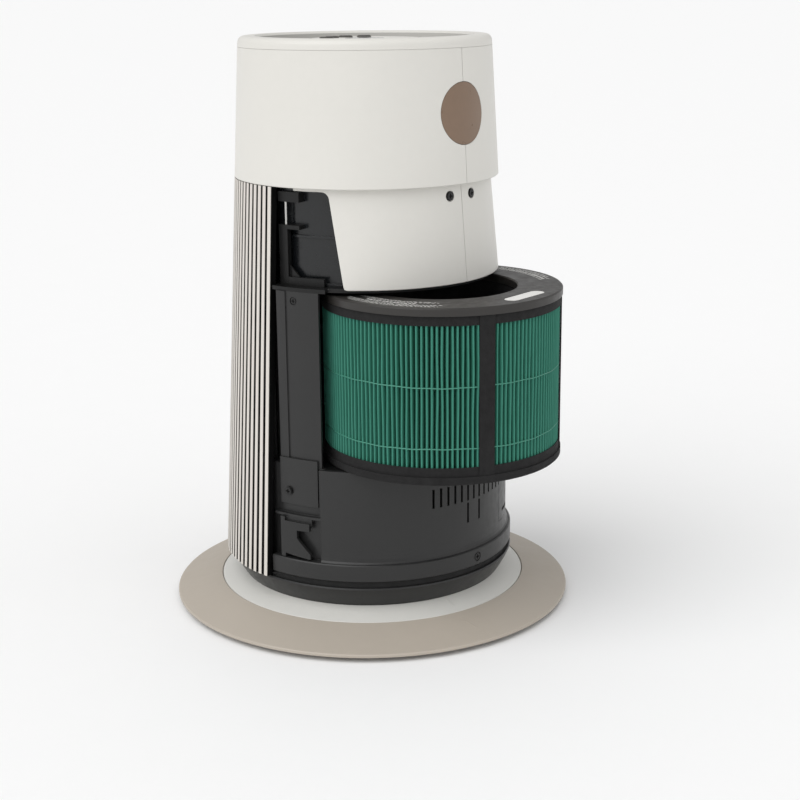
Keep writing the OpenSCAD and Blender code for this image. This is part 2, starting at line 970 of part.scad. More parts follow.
module diffuser() {
    hub_top = motor_z0 + motor_len + 3;
    vane_h = hub_top - neck_z + 12;
    color(near_black)
        union() {
            difference() {
                rod(hub_r, hub_z, hub_top);
                rod(motor_r + 0.5, hub_z - 1, motor_z0 + motor_len);
            }
            ring(motor_r, hub_r - 1, motor_z0 + 9, motor_z0 + 12);
            for (i = [0 : vane_count - 1])
                rotate([0, 0, i * 360 / vane_count])
                    translate([0, 0, hub_top - vane_h])
                        linear_extrude(vane_h)
                            vane(hub_r - 1, diffuser_ring_r - 1, 14, 1.8);
            ring(diffuser_ring_r - 2.5, diffuser_ring_r, hub_top - vane_h, hub_top);
            ring(diffuser_ring_r - 1, fan_housing_r + 2.5, fan_wall_top, fan_wall_top + 2.5);
        }
}

// Brackets that hold the steel catch pins, with the uprights and shelves they stand on
module pin_brackets() {
    upright_end = -83.5;
    shelf_end = -65.5;
    shelf_in_r = fan_housing_r + 3.3;
    shelf_h = 6;
    gusset = 9;
    out_r = pin_r + 2;
    color(near_black)
        both_sides()
            union() {
                sector(-side_end, upright_end, pin_r - 2, out_r, plate_top_z, pin_z0);
                sector(-side_end, -77, fan_housing_r, out_r, pin_z0 - bracket_plate_t, pin_z0);
                sector(-side_end, -77, fan_housing_r, out_r, pin_z0 + pin_len, fan_wall_top - wall);
                sector(upright_end - 0.5, shelf_end, shelf_in_r, out_r - 0.1,
                    plate_top_z, plate_top_z + shelf_h);
                // slanted rib between the upright and the shelf
                outward(upright_end, 0, shelf_in_r)
                    rotate([0, 0, 90])
                        linear_extrude(1.5)
                            polygon([
                                [-1, plate_top_z + shelf_h - 1], [gusset, plate_top_z + shelf_h - 1],
                                [gusset, plate_top_z + shelf_h], [-1, plate_top_z + shelf_h + gusset]
                            ]);
            }
}

module catch_pins() {
    color(steel)
        both_sides()
            outward(-pin_angle, 0, pin_r)
                rotate([0, -90, 0])
                    rod(catch_pin_r, pin_z0, pin_z0 + pin_len);
}

// ---- Skirt ----

// Area cut away from the skirt's side, drawn in the tangent plane at its bearing
cut_angle = 60;

module skirt_side_cut() {
    corner = 6;
    top = neck_z - 2.5;
    edge_top = -4.2;
    edge_low = 7;
    outward(-cut_angle, 0, 60)
        rotate([0, 0, 90])
            linear_extrude(60)
                polygon(concat(
                    [[-80, skirt_low_z - 10], [-80, top]],
                    [for (a = [0 : 15 : 75])
                        [edge_top - corner + corner * sin(a), top - corner + corner * cos(a)]],
                    [[edge_low - 0.3, skirt_low_z + 3], [edge_low + 0.5, skirt_low_z + 1]],
                    [[edge_low + 2.5, skirt_low_z], [edge_low + 2.5, skirt_low_z - 10]]
                ));
}

// Half of the skirt, on the +X side
module skirt_half() {
    tuck = 11;
    notch = 2.2;
    color(shell_white)
        difference() {
            turn(-skirt_half_angle, -seam_gap / 2)
                polygon([
                    [skirt_r(skirt_low_z) - skirt_t, skirt_low_z],
                    [skirt_r(skirt_low_z) - 0.5, skirt_low_z],
                    [skirt_r(skirt_low_z), skirt_low_z + 0.5],
                    [skirt_r(neck_z), neck_z],
                    [skirt_r(neck_z), neck_z + tuck],
                    [skirt_r(neck_z) - skirt_t, neck_z + tuck],
                    [skirt_r(neck_z) - skirt_t, neck_z]
                ]);
            skirt_side_cut();
            outward(-skirt_screw_angle, skirt_screw_z, skirt_r(skirt_screw_z)) {
                rod(screw_head_r + 0.6, -1.4, 3);
                rod(screw_hole_r, -5, 1);
            }
            // small notch where the halves meet
            translate([-notch, 90, skirt_low_z - notch])
                rotate([-90, 0, 0])
                    rotate([0, 0, 45])
                        translate([0, -notch, 0])
                            cube([notch, notch, 30]);
        }
}

module skirt_left_shell() {
    skirt_half();
}

module skirt_right_shell() {
    mirror([1, 0, 0])
        skirt_half();
}

module skirt_screws() {
    color(near_black)
        for (s = [-1, 1])
            outward(s * skirt_screw_angle, skirt_screw_z, skirt_r(skirt_screw_z) - 1.4)
                screw(4);
}

// ---- Head ----

module button_hole(r) {
    translate([0, 0, button_z])
        rotate([-90, 0, 0])
            rod(r, 70, 130);
}

// Half of the head's shell, on the +X side
module collar_half() {
    edge = 0.5;
    lip_t = 3;
    color(shell_white)
        difference() {
            turn(-180 + seam_gap / 2, -seam_gap / 2)
                polygon([
                    [skirt_r(neck_z) + 0.1, neck_z],
                    [column_r(neck_z) - edge, neck_z],
                    [column_r(neck_z), neck_z + edge],
                    [column_r(collar_top_z), collar_top_z],
                    [column_r(collar_top_z) - collar_t, collar_top_z],
                    [column_r(neck_z + lip_t) - collar_t, neck_z + lip_t],
                    [skirt_r(neck_z) + 0.1, neck_z + lip_t]
                ]);
            button_hole(button_r + gap);
        }
}

module collar_left_shell() {
    collar_half();
}

module collar_right_shell() {
    mirror([1, 0, 0])
        collar_half();
}

module release_button() {
    face_t = 2.6;
    z0 = button_z - button_r - 2;
    z1 = button_z + button_r + 2;
    color(brown)
        union() {
            intersection() {
                turn(-30, 30)
                    polygon([
                        [column_r(z0) - face_t, z0],
                        [column_r(z0), z0],
                        [column_r(z1), z1],
                        [column_r(z1) - face_t, z1]
                    ]);
                button_hole(button_r);
            }
            translate([0, 0, button_z])
                rotate([-90, 0, 0])
                    rod(stem_r, carrier_y0 - 1, column_r(z1) - 1);
        }
}

module release_spring() {
    spring_y1 = column_r(button_z + button_r) - 3.5 - button_travel;
    color(steel)
        translate([0, 0, button_z])
            rotate([-90, 0, 0])
                difference() {
                    rod(stem_r + 2.2, carrier_y0 + carrier_t, spring_y1);
                    rod(stem_r + 1, carrier_y0, column_r(button_z));
                }
}

module outlet_duct() {
    duct_z0 = motor_z0 + motor_len + 3;
    grille_z = top_z - 9;
    duct_t = 2.5;
    neck_in = diffuser_ring_r - 2.5;
    arm_h = 24;
    color(near_black)
        difference() {
            union() {
                rotate_extrude()
                    polygon([
                        [neck_in, duct_z0],
                        [diffuser_ring_r, duct_z0],
                        [diffuser_ring_r, duct_z0 + 2],
                        [duct_r + duct_t, duct_z0 + 8],
                        [duct_r + duct_t, grille_z],
                        [duct_r, grille_z],
                        [duct_r, duct_z0 + 8]
                    ]);
                // carrier for the release button's stem
                translate([-12, carrier_y0, button_z - arm_h / 2])
                    cube([24, carrier_t, arm_h]);
                for (s = [-1, 1])
                    translate([s * 10.5 - 1.5, duct_r - 1, button_z - arm_h / 2])
                        cube([3, carrier_y0 - duct_r + 2, arm_h]);
                // bosses that hold the collar
                for (a = [45, 135, 225, 315])
                    sector(a - 3, a + 3, duct_r + 1, column_r(collar_top_z) - collar_t - 0.2,
                        collar_top_z - 12, collar_top_z - 6);
            }
            translate([0, 0, button_z])
                rotate([-90, 0, 0])
                    rod(stem_r + 0.15, carrier_y0 - 0.5, carrier_y0 + 2 * carrier_t);
            ring(1, duct_r, duct_z0 + 8, grille_z + 1);
        }
}

module outlet_grille() {
    grille_z = top_z - 9;
    grille_t = 4;
    vane_w = 1.5;
    ring_w = 2;
    in_r = pod_r + gap;
    out_r = duct_r + 2;
    color(near_black)
        union() {
            ring(in_r, in_r + ring_w, grille_z, grille_z + grille_t);
            ring(out_r - ring_w, out_r, grille_z, grille_z + grille_t);
            for (t = [1 / 3, 2 / 3])
                let (r = in_r + (out_r - in_r) * t)
                    ring(r, r + ring_w - 0.4, grille_z, grille_z + grille_t);
            for (i = [0 : outlet_vane_count - 1])
                rotate([0, 0, i * 360 / outlet_vane_count])
                    translate([in_r + 1, -vane_w / 2, grille_z])
                        cube([out_r - in_r - 2, vane_w, grille_t]);
        }
}

module top_ring() {
    in_r = duct_r + 2 + gap;
    out_low = column_r(collar_top_z);
    round = 5;
    z0 = collar_top_z;
    color(shell_white)
        rotate_extrude()
            polygon(concat(
                [[in_r, z0], [out_low - seam_gap, z0]],
                [[out_low - seam_gap, z0 + seam_gap], [out_low, z0 + seam_gap]],
                [for (a = [0 : 15 : 90])
                    [out_low - 0.2 - round + round * cos(a), top_z - round + round * sin(a)]],
                [[in_r + 1.5, top_z], [in_r, top_z - 1.5]]
            ));
}

module control_pod() {
    z0 = motor_z0 + motor_len + 3;
    plate_t2 = 2.5;
    edge = 2;
    pod_wall = 2.5;
    color(shell_white)
        difference() {
            rotate_extrude()
                polygon([
                    [0, z0], [pod_r - 8, z0], [pod_r, z0 + 10],
                    [pod_r, pod_top_z - edge], [pod_r - 0.6, pod_top_z - 0.6], [pod_r - edge, pod_top_z],
                    [0, pod_top_z], [0, pod_top_z - plate_t2],
                    [pod_r - pod_wall, pod_top_z - plate_t2],
                    [pod_r - pod_wall, board_z], [pod_r - pod_wall - 2, board_z],
                    [pod_r - pod_wall - 2, board_z - 2], [pod_r - pod_wall, board_z - 4],
                    [pod_r - pod_wall, z0 + 11], [pod_r - 8, z0 + pod_wall], [0, z0 + pod_wall]
                ]);
            for (a = key_angles)
                at_key(a)
                    rod(key_r + 0.2, pod_top_z - 2 * plate_t2, pod_top_z + 1);
            rod(lens_r + 0.1, pod_top_z - 1, pod_top_z + 1);
            rod(lens_r - 3, pod_top_z - 2 * plate_t2, pod_top_z + 1);
        }
}

module at_key(a) {
    rotate([0, 0, a])
        translate([key_circle_r, 0, 0])
            children();
}

module control_board() {
    switch_r = 2;
    color(board_green)
        union() {
            rod(pod_r - 3.2, board_z, board_z + board_t);
            for (a = key_angles)
                at_key(a)
                    rod(switch_r, board_z, board_z + board_t + 1.5);
        }
}

module display_lens() {
    color(black)
        union() {
            rod(lens_r, pod_top_z - 1, pod_top_z + 0.2);
            rod(lens_r - 3.2, pod_top_z - 4, pod_top_z - 0.5);
        }
}

module key(i) {
    switch_top = board_z + board_t + 1.5;
    color(dark_grey)
        at_key(key_angles[i])
            union() {
                rod(key_r, switch_top + key_travel + 0.2, pod_top_z + 1);
                rod(key_r - 0.8, pod_top_z, pod_top_z + 1.4);
                rod(key_r + 1.2, pod_top_z - 4.5, pod_top_z - 3);
            }
}

module power_button() {
    key(0);
}

module mode_button() {
    key(1);
}

module speed_button() {
    key(2);
}

module timer_button() {
    key(3);
}

// ---- Filter ----

module at_filter() {
    translate([0, filter_out, 0])
        children();
}

media_out_r = filter_r - 1.2;
media_in_r = filter_bore_r + 5;
trim_t = 0.6;
label_r = 76.5;
label_angle = 4;
label_len = 43;
label_w = 11;
label_t = 0.5;

module label_shape(len, w, h) {
    for (s = [-1, 1])
        translate([0, s * (len - w) / 2, 0])
            cylinder(r = w / 2, h = h);
    translate([-w / 2, -(len - w) / 2, 0])
        cube([w, len - w, h]);
}

module at_label() {
    at_filter()
        rotate([0, 0, 90 + label_angle])
            translate([label_r, 0, filter_z1 - label_t])
                children();
}

module filter_top_ring() {
    z0 = filter_z1 - filter_ring_h;
    lip = 2;
    color(near_black)
        difference() {
            at_filter()
                rotate_extrude()
                    polygon([
                        [filter_bore_r, z0], [filter_bore_r, filter_z1 - 1],
                        [filter_bore_r + 1, filter_z1], [filter_r - 1, filter_z1],
                        [filter_r, filter_z1 - 1], [filter_r, z0],
                        [filter_r - lip, z0], [filter_r - lip, z0 + 2], [filter_bore_r + lip, z0 + 2],
                        [filter_bore_r + lip, z0]
                    ]);
            at_label()
                label_shape(label_len + 0.2, label_w + 0.2, 2);
        }
}

module filter_bottom_ring() {
    z1 = filter_z0 + filter_ring_h;
    lip = 2;
    color(near_black)
        at_filter()
            rotate_extrude()
                polygon([
                    [filter_bore_r, z1], [filter_bore_r, filter_z0], [filter_r - 1, filter_z0],
                    [filter_r, filter_z0 + 1], [filter_r, z1], [filter_r - lip, z1],
                    [filter_r - lip, z1 - 2], [filter_bore_r + lip, z1 - 2], [filter_bore_r + lip, z1]
                ]);
}

module filter_media() {
    color(media_green)
        at_filter()
            ring(media_in_r, media_out_r - trim_t,
                filter_z0 + filter_ring_h, filter_z1 - filter_ring_h);
}

module filter_core() {
    color(black)
        at_filter()
            ring(filter_bore_r + 0.5, media_in_r - gap,
                filter_z0 + filter_ring_h, filter_z1 - filter_ring_h);
}

// Black mesh bands at both ends and the strips over the media
module filter_trim() {
    band_z0 = filter_z0 + filter_ring_h;
    band_z1 = filter_z1 - filter_ring_h;
    trim_h = 7;
    strip_half = 3.7;
    out_r = media_out_r;
    color(black)
        at_filter()
            union() {
                ring(out_r - trim_t, out_r, band_z0, band_z0 + trim_h);
                ring(out_r - trim_t, out_r, band_z1 - trim_h, band_z1);
                for (a = [filter_seam_angle, filter_strip_angle])
                    sector(a - strip_half, a + strip_half,
                        out_r - trim_t / 2, out_r + trim_t, band_z0, band_z1);
            }
}

module filter_label() {
    color(shell_white)
        at_label()
            label_shape(label_len, label_w, label_t - 0.1);
}

foot_pad();
ballast_plate();
base_outer_ring();
base_inner_ring();
base_screws();
foot_bowl();
front_housing();
lower_housing();
bay_deck();
power_board();
power_board_parts();
power_inlet();
sensor_module();
sensor_door();
sensor_door_pin();
left_cover_hook();
right_cover_hook();
left_post();
right_post();
left_post_bracket();
right_post_bracket();
housing_screws();
front_frame();
front_grille_shell();
front_grille_ribs();
bay_top_plate();
filter_seal();
bellmouth();
fan_housing();
impeller();
motor_rotor();
motor_shaft();
motor_body();
motor_bearings();
diffuser();
pin_brackets();
catch_pins();
skirt_left_shell();
skirt_right_shell();
skirt_screws();
collar_left_shell();
collar_right_shell();
release_button();
release_spring();
outlet_duct();
outlet_grille();
top_ring();
control_pod();
control_board();
display_lens();
power_button();
mode_button();
speed_button();
timer_button();
filter_top_ring();
filter_bottom_ring();
filter_media();
filter_core();
filter_trim();
filter_label();
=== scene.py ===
"""Column air purifier: finishes, fine pieces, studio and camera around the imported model."""

import logging
import math
import random
from collections.abc import Sequence
from dataclasses import dataclass, field
from enum import Enum
from typing import NamedTuple

import bpy
from mathutils import Matrix, Vector


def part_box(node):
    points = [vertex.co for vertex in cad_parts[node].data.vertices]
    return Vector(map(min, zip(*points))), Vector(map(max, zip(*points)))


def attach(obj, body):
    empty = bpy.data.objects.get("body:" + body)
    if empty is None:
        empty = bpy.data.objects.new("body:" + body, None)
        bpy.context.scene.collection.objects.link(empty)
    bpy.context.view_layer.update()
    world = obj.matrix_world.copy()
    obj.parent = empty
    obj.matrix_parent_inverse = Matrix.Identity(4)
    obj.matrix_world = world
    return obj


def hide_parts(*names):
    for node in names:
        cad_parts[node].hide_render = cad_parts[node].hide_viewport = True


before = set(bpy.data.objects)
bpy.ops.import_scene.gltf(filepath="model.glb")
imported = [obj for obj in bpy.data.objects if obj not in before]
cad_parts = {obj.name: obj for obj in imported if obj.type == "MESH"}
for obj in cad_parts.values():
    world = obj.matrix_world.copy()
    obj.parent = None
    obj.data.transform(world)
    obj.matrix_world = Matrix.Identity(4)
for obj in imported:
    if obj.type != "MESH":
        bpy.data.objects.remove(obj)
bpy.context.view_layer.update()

LOG = logging.getLogger("purifier")
MM = 0.001

Colour = tuple[float, float, float]
Point = tuple[float, float, float]
ProfilePoint = tuple[float, float]


class Body(Enum):
    """The bodies that the pieces made here ride on."""

    HOUSING = "housing"
    FILTER = "filter"


def srgb(red: int, green: int, blue: int) -> Colour:
    """Turns a screen colour, 0 to 255, into linear light.

    Args:
        red: Red level.
        green: Green level.
        blue: Blue level.

    Returns:
        The linear red, green and blue.
    """

    def linear(level: int) -> float:
        """Linear light of one level.

        Args:
            level: The screen level.

        Returns:
            Its linear value.
        """
        share = level / 255
        return share / 12.92 if share <= 0.04045 else ((share + 0.055) / 1.055) ** 2.4

    return linear(red), linear(green), linear(blue)


# ---------------------------------------------------------------------------
# Finishes
# ---------------------------------------------------------------------------


class NodeSketch:
    """Small helper that writes shader nodes for one material."""

    def __init__(self, name: str) -> None:
        """Makes an empty material with its surface shader.

        Args:
            name: The material's name.
        """
        self.material = bpy.data.materials.new(name)
        self.material.use_nodes = True
        self.tree = self.material.node_tree
        self.shader = self.tree.nodes["Principled BSDF"]
        self.coords = self.tree.nodes.new("ShaderNodeTexCoord").outputs["Object"]

    def add(self, kind: str, **values: object) -> bpy.types.Node:
        """Adds a node and sets its properties or inputs by name.

        Args:
            kind: The node's type.
            **values: Properties, or inputs with spaces written as underscores.

        Returns:
            The new node.
        """
        node = self.tree.nodes.new(kind)
        for key, value in values.items():
            if hasattr(node, key):
                setattr(node, key, value)
            else:
                node.inputs[key.replace("_", " ")].default_value = value
        return node

    def link(self, source: bpy.types.NodeSocket, target: bpy.types.NodeSocket) -> None:
        """Joins two sockets.

        Args:
            source: The output.
            target: The input.
        """
        self.tree.links.new(source, target)

    def noise(self, scale: float, detail: float = 3.0, stretch: Point = (1, 1, 1)) -> bpy.types.NodeSocket:
        """Adds a noise pattern on object coordinates.

        Args:
            scale: Patterns per metre.
            detail: Octaves.
            stretch: Scale along each axis, for brushed or fibrous looks.

        Returns:
            The noise's value socket.
        """
        source = self.coords
        if stretch != (1, 1, 1):
            mapping = self.add("ShaderNodeMapping")
            mapping.inputs["Scale"].default_value = stretch
            self.link(source, mapping.inputs["Vector"])
            source = mapping.outputs["Vector"]
        node = self.add("ShaderNodeTexNoise", Scale=scale, Detail=detail)
        self.link(source, node.inputs["Vector"])
        return node.outputs["Fac"]

    def spread(self, value: bpy.types.NodeSocket, low: float, high: float,
               from_low: float = 0.3, from_high: float = 0.7) -> bpy.types.NodeSocket:
        """Maps a value onto a range.

        Args:
            value: The socket to map.
            low: Result at from_low.
            high: Result at from_high.
            from_low: Lower end of the input.
            from_high: Upper end of the input.

        Returns:
            The mapped value.
        """
        node = self.add("ShaderNodeMapRange", From_Min=from_low, From_Max=from_high, To_Min=low, To_Max=high)
        self.link(value, node.inputs["Value"])
        return node.outputs["Result"]

    def mix(self, factor: bpy.types.NodeSocket, first: Colour | bpy.types.NodeSocket,
            second: Colour) -> bpy.types.NodeSocket:
        """Mixes two colours.

        Args:
            factor: 0 gives the first colour and 1 the second.
            first: The first colour, or a socket that carries it.
            second: The second colour.

        Returns:
            The mixed colour.
        """
        node = self.add("ShaderNodeMix", data_type="RGBA")
        self.link(factor, node.inputs[0])
        if isinstance(first, tuple):
            node.inputs[6].default_value = (*first, 1)
        else:
            self.link(first, node.inputs[6])
        node.inputs[7].default_value = (*second, 1)
        return node.outputs[2]

    def axis_distance(self, axis_y: float) -> bpy.types.NodeSocket:
        """Measures the level distance from an upright axis over the Y axis.

        Args:
            axis_y: Where the axis stands.

        Returns:
            The distance.
        """
        level = self.add("ShaderNodeMapping")
        level.inputs["Location"].default_value = (0, -axis_y, 0)
        level.inputs["Scale"].default_value = (1, 1, 0)
        self.link(self.coords, level.inputs["Vector"])
        length = self.add("ShaderNodeVectorMath", operation="LENGTH")
        self.link(level.outputs["Vector"], length.inputs[0])
        return length.outputs["Value"]

    def math(self, operation: str, first: bpy.types.NodeSocket, second: object = 0.5) -> bpy.types.NodeSocket:
        """Adds one sum.

        Args:
            operation: The operation's name.
            first: The first value.
            second: The second value, a number or a socket.

        Returns:
            The result.
        """
        node = self.add("ShaderNodeMath", operation=operation)
        self.link(first, node.inputs[0])
        if isinstance(second, (int, float)):
            node.inputs[1].default_value = second
        else:
            self.link(second, node.inputs[1])
        return node.outputs[0]

    def bump(self, height: bpy.types.NodeSocket, strength: float, depth: float) -> None:
        """Adds a relief on top of any that is there.

        Args:
            height: The relief's height, 0 to 1.
            strength: How much of it shows.
            depth: Its depth in metres.
        """
        node = self.add("ShaderNodeBump", Strength=strength, Distance=depth)
        self.link(height, node.inputs["Height"])
        normal = self.shader.inputs["Normal"]
        if normal.is_linked:
            self.link(normal.links[0].from_socket, node.inputs["Normal"])
        self.link(node.outputs["Normal"], normal)


CLOUD_SCALE = 24
FAINT_SCALE = 180
RUB_SCALE = 60
RIPPLE_SCALE = 22
BRUSH_SCALE = 300


@dataclass(frozen=True)
class Finish:
    """A moulded plastic, rubber or painted finish with grain, mottling and handling wear."""

    name: str
    colour: Colour
    rough: float = 0.5
    metal: float = 0.0
    grain: float = 1400.0
    grain_depth: float = 0.00005
    mottle: float = 0.04
    rough_spread: float = 0.06
    specular: float = 0.5
    coat: float = 0.0
    scuff: float = 0.03
    edge: float = 0.0

    def shade(self, factor: float) -> Colour:
        """The finish's colour, lighter or darker.

        Args:
            factor: Over 1 lightens and under 1 darkens.

        Returns:
            The new colour.
        """
        return tuple(min(1.0, channel * factor) for channel in self.colour)

    def material(self) -> bpy.types.Material:
        """Builds the finish's node material.

        Returns:
            The material.
        """
        sketch = NodeSketch(self.name)
        shader = sketch.shader
        shader.inputs["Metallic"].default_value = self.metal
        shader.inputs["Specular IOR Level"].default_value = self.specular
        shader.inputs["Coat Weight"].default_value = self.coat
        shader.inputs["Coat Roughness"].default_value = 0.2
        self.paint(sketch)
        if self.edge:
            rounding = sketch.add("ShaderNodeBevel", Radius=self.edge, samples=4)
            sketch.link(rounding.outputs["Normal"], shader.inputs["Normal"])
        self.relief(sketch)
        return sketch.material

    def paint(self, sketch: NodeSketch) -> None:
        """Writes the colour and the roughness.

        Args:
            sketch: The material being written.
        """
        cloud = sketch.noise(CLOUD_SCALE, 4)
        faint = sketch.noise(FAINT_SCALE, 5)
        tone = sketch.spread(sketch.math("MULTIPLY", sketch.math("ADD", cloud, faint), 0.5), 0, 1)
        base = sketch.mix(tone, self.shade(1 - self.mottle), self.shade(1 + self.mottle))
        sketch.link(base, sketch.shader.inputs["Base Color"])
        rub = sketch.spread(sketch.noise(RUB_SCALE, 6, (1, 1, 0.35)), -self.scuff, self.scuff, 0.35, 0.75)
        low, high = self.rough - self.rough_spread, self.rough + self.rough_spread
        rough = sketch.math("ADD", sketch.spread(faint, low, high), rub)
        sketch.link(rough, sketch.shader.inputs["Roughness"])

    def relief(self, sketch: NodeSketch) -> None:
        """Writes the moulded grain.

        Args:
            sketch: The material being written.
        """
        sketch.bump(sketch.noise(self.grain, 2), 0.5, self.grain_depth)
        sketch.bump(sketch.noise(RIPPLE_SCALE, 2), 0.25, self.grain_depth * 3)


@dataclass(frozen=True)
class BrushedMetal(Finish):
    """Turned or drawn steel with fine lines along one axis."""

    line_stretch: Point = (1, 1, 30)

    def relief(self, sketch: NodeSketch) -> None:
        """Writes the drawn lines.

        Args:
            sketch: The material being written.
        """
        sketch.bump(sketch.noise(BRUSH_SCALE, 3, self.line_stretch), 0.35, 0.00004)


@dataclass(frozen=True)
class PleatPaper(Finish):
    """Pleated filter paper with a fibrous face, paler along the folds and with painted shade deep in the
    valleys.
    """

    # Painted shade: the darker colour laid in the valleys between the folds.
    valley: Colour = (0.0, 0.0, 0.0)
    axis_y: float = 0.0
    ridge_r: float = 0.09
    valley_r: float = 0.08

    def paint(self, sketch: NodeSketch) -> None:
        """Writes the colour from the distance to the filter's axis, with painted shade darkening from the
        folds into the valleys.

        Args:
            sketch: The material being written.
        """
        # Painted shade: 0 in the valleys and 1 at the folds, by distance from the axis.
        depth = sketch.spread(sketch.axis_distance(self.axis_y), 0, 1, self.valley_r, self.ridge_r)
        fibre = sketch.spread(sketch.noise(900, 4, (1, 1, 0.15)), 0.78, 1.12)
        cloud = sketch.spread(sketch.noise(35, 3), 0.85, 1.12)
        # The tone is the painted shade from the folds times the paper's own fibre and cloud variation.
        tone = sketch.math("MULTIPLY", sketch.math("MULTIPLY", depth, fibre), cloud)
        sketch.link(sketch.mix(tone, self.valley, self.colour), sketch.shader.inputs["Base Color"])
        rough = sketch.spread(fibre, self.rough, self.rough + 0.1, 0.7, 1.2)
        sketch.link(rough, sketch.shader.inputs["Roughness"])

    def relief(self, sketch: NodeSketch) -> None:
        """Writes the felted face.

        Args:
            sketch: The material being written.
        """
        sketch.bump(sketch.noise(1800, 4), 0.6, 0.00012)


@dataclass(frozen=True)
class WovenMesh(Finish):
    """Fine black net of crossing threads, on a drum about the filter's axis."""

    axis_y: float = 0.0
    thread: float = 0.0009
    radius: float = 0.091
    thread_colour: Colour = (0.03, 0.03, 0.03)

    def paint(self, sketch: NodeSketch) -> None:
        """Writes threads on the angle round the axis and on the height.

        Args:
            sketch: The material being written.
        """
        super().paint(sketch)
        weave = self.weave(sketch)
        sketch.link(sketch.mix(weave, self.colour, self.thread_colour), sketch.shader.inputs["Base Color"])

    def weave(self, sketch: NodeSketch) -> bpy.types.NodeSocket:
        """Writes the thread pattern.

        Args:
            sketch: The material being written.

        Returns:
            1 on a thread and 0 in a hole.
        """
        centred = sketch.add("ShaderNodeMapping")
        centred.inputs["Location"].default_value = (0, -self.axis_y, 0)
        sketch.link(sketch.coords, centred.inputs["Vector"])
        parts = sketch.add("ShaderNodeSeparateXYZ")
        sketch.link(centred.outputs["Vector"], parts.inputs[0])
        angle = sketch.math("ARCTAN2", parts.outputs["X"], parts.outputs["Y"])
        turns = 2 * math.pi / self.thread
        across = sketch.math("SINE", sketch.math("MULTIPLY", angle, self.radius * turns))
        along = sketch.math("SINE", sketch.math("MULTIPLY", parts.outputs["Z"], turns))
        return sketch.spread(sketch.math("MAXIMUM", across, along), 0, 1, 0.0, 0.8)

    def relief(self, sketch: NodeSketch) -> None:
        """Raises the threads.

        Args:
            sketch: The material being written.
        """
        sketch.bump(self.weave(sketch), 0.8, 0.0002)


@dataclass(frozen=True)
class RibPlastic(Finish):
    """Pale plastic on the ribs' faces, with near-black painted shade on their flanks below the face."""

    # Painted shade: near-black colour for the rib flanks, standing in for the shade between the ribs.
    flank_painted_shade: Colour = (0.002, 0.002, 0.002)
    foot_r: float = 0.12
    foot_z: float = 0.04
    neck_r: float = 0.1
    neck_z: float = 0.34
    face_depth: float = 0.25 * MM

    def paint(self, sketch: NodeSketch) -> None:
        """Writes painted shade, near black, on the flanks below the face of the tapered cover.

        Args:
            sketch: The material being written.
        """
        super().paint(sketch)
        pale = sketch.shader.inputs["Base Color"].links[0].from_socket
        parts = sketch.add("ShaderNodeSeparateXYZ")
        sketch.link(sketch.coords, parts.inputs[0])
        # Painted shade: the colour turns near black where a point lies more than face_depth below the ribs'
        # tapered face.
        face = sketch.spread(parts.outputs["Z"], self.foot_r, self.neck_r, self.foot_z, self.neck_z)
        depth = sketch.math("SUBTRACT", face, sketch.axis_distance(0))
        shade = sketch.spread(depth, 0, 1, self.face_depth, 2 * self.face_depth)
        sketch.link(sketch.mix(shade, pale, self.flank_painted_shade), sketch.shader.inputs["Base Color"])


@dataclass(frozen=True)
class CircuitBoard(Finish):
    """Solder mask with copper tracks under it."""

    track_colour: Colour = (0.02, 0.22, 0.08)

    def paint(self, sketch: NodeSketch) -> None:
        """Writes stepped tracks.

        Args:
            sketch: The material being written.
        """
        cells = sketch.add(
            "ShaderNodeTexVoronoi", distance="MANHATTAN", feature="DISTANCE_TO_EDGE", Scale=260.0)
        sketch.link(sketch.coords, cells.inputs["Vector"])
        track = sketch.spread(cells.outputs["Distance"], 1, 0, 0.03, 0.08)
        sketch.link(sketch.mix(track, self.colour, self.track_colour), sketch.shader.inputs["Base Color"])
        sketch.link(sketch.spread(sketch.noise(200), 0.3, 0.45), sketch.shader.inputs["Roughness"])


WHITE = Finish(
    "white_plastic", srgb(217, 215, 209), rough=0.42, mottle=0.012, grain_depth=0.00003, edge=0.4 * MM)
TAUPE = Finish("taupe_plastic", srgb(177, 168, 156), rough=0.5, mottle=0.02, edge=0.4 * MM)
PALE_GREY = Finish("pale_grey_plastic", srgb(208, 207, 202), rough=0.48, mottle=0.015, edge=0.4 * MM)
DARK_GREY = Finish(
    "dark_grey_plastic", srgb(38, 38, 38), rough=0.36, mottle=0.08, specular=0.4, edge=0.5 * MM)
HOOK_GREY = Finish("hook_plastic", srgb(34, 34, 34), rough=0.38, mottle=0.08, specular=0.4, edge=0.3 * MM)
BLACK = Finish("black_plastic", srgb(16, 16, 16), rough=0.42, mottle=0.1, specular=0.35, edge=0.3 * MM)
FAN_BLACK = Finish(
    "fan_plastic", srgb(19, 21, 23), rough=0.24, mottle=0.1, grain_depth=0.000004, edge=0.4 * MM)
GRILLE_BLACK = Finish("grille_plastic", srgb(6, 6, 6), rough=0.6, mottle=0.1, specular=0.15)
RUBBER = Finish("pad_rubber", srgb(18, 18, 18), rough=0.8, mottle=0.1, grain=900, grain_depth=0.0001)
FOAM = Finish("seal_foam", srgb(22, 22, 22), rough=0.95, mottle=0.2, grain=700, grain_depth=0.0004)
BROWN = Finish("brown_plastic", srgb(124, 101, 82), rough=0.34, mottle=0.05, coat=0.15, edge=0.4 * MM)
IMPELLER_GREY = Finish("impeller_plastic", srgb(150, 150, 148), rough=0.45, mottle=0.03, edge=0.3 * MM)
SCREW_BLACK = Finish("black_screw", srgb(60, 60, 60), rough=0.34, metal=0.9, mottle=0.1, edge=0.2 * MM)
GLOSS_BLACK = Finish(
    "gloss_plastic", srgb(12, 12, 13), rough=0.12, mottle=0.03, grain_depth=0.000004, coat=0.4)
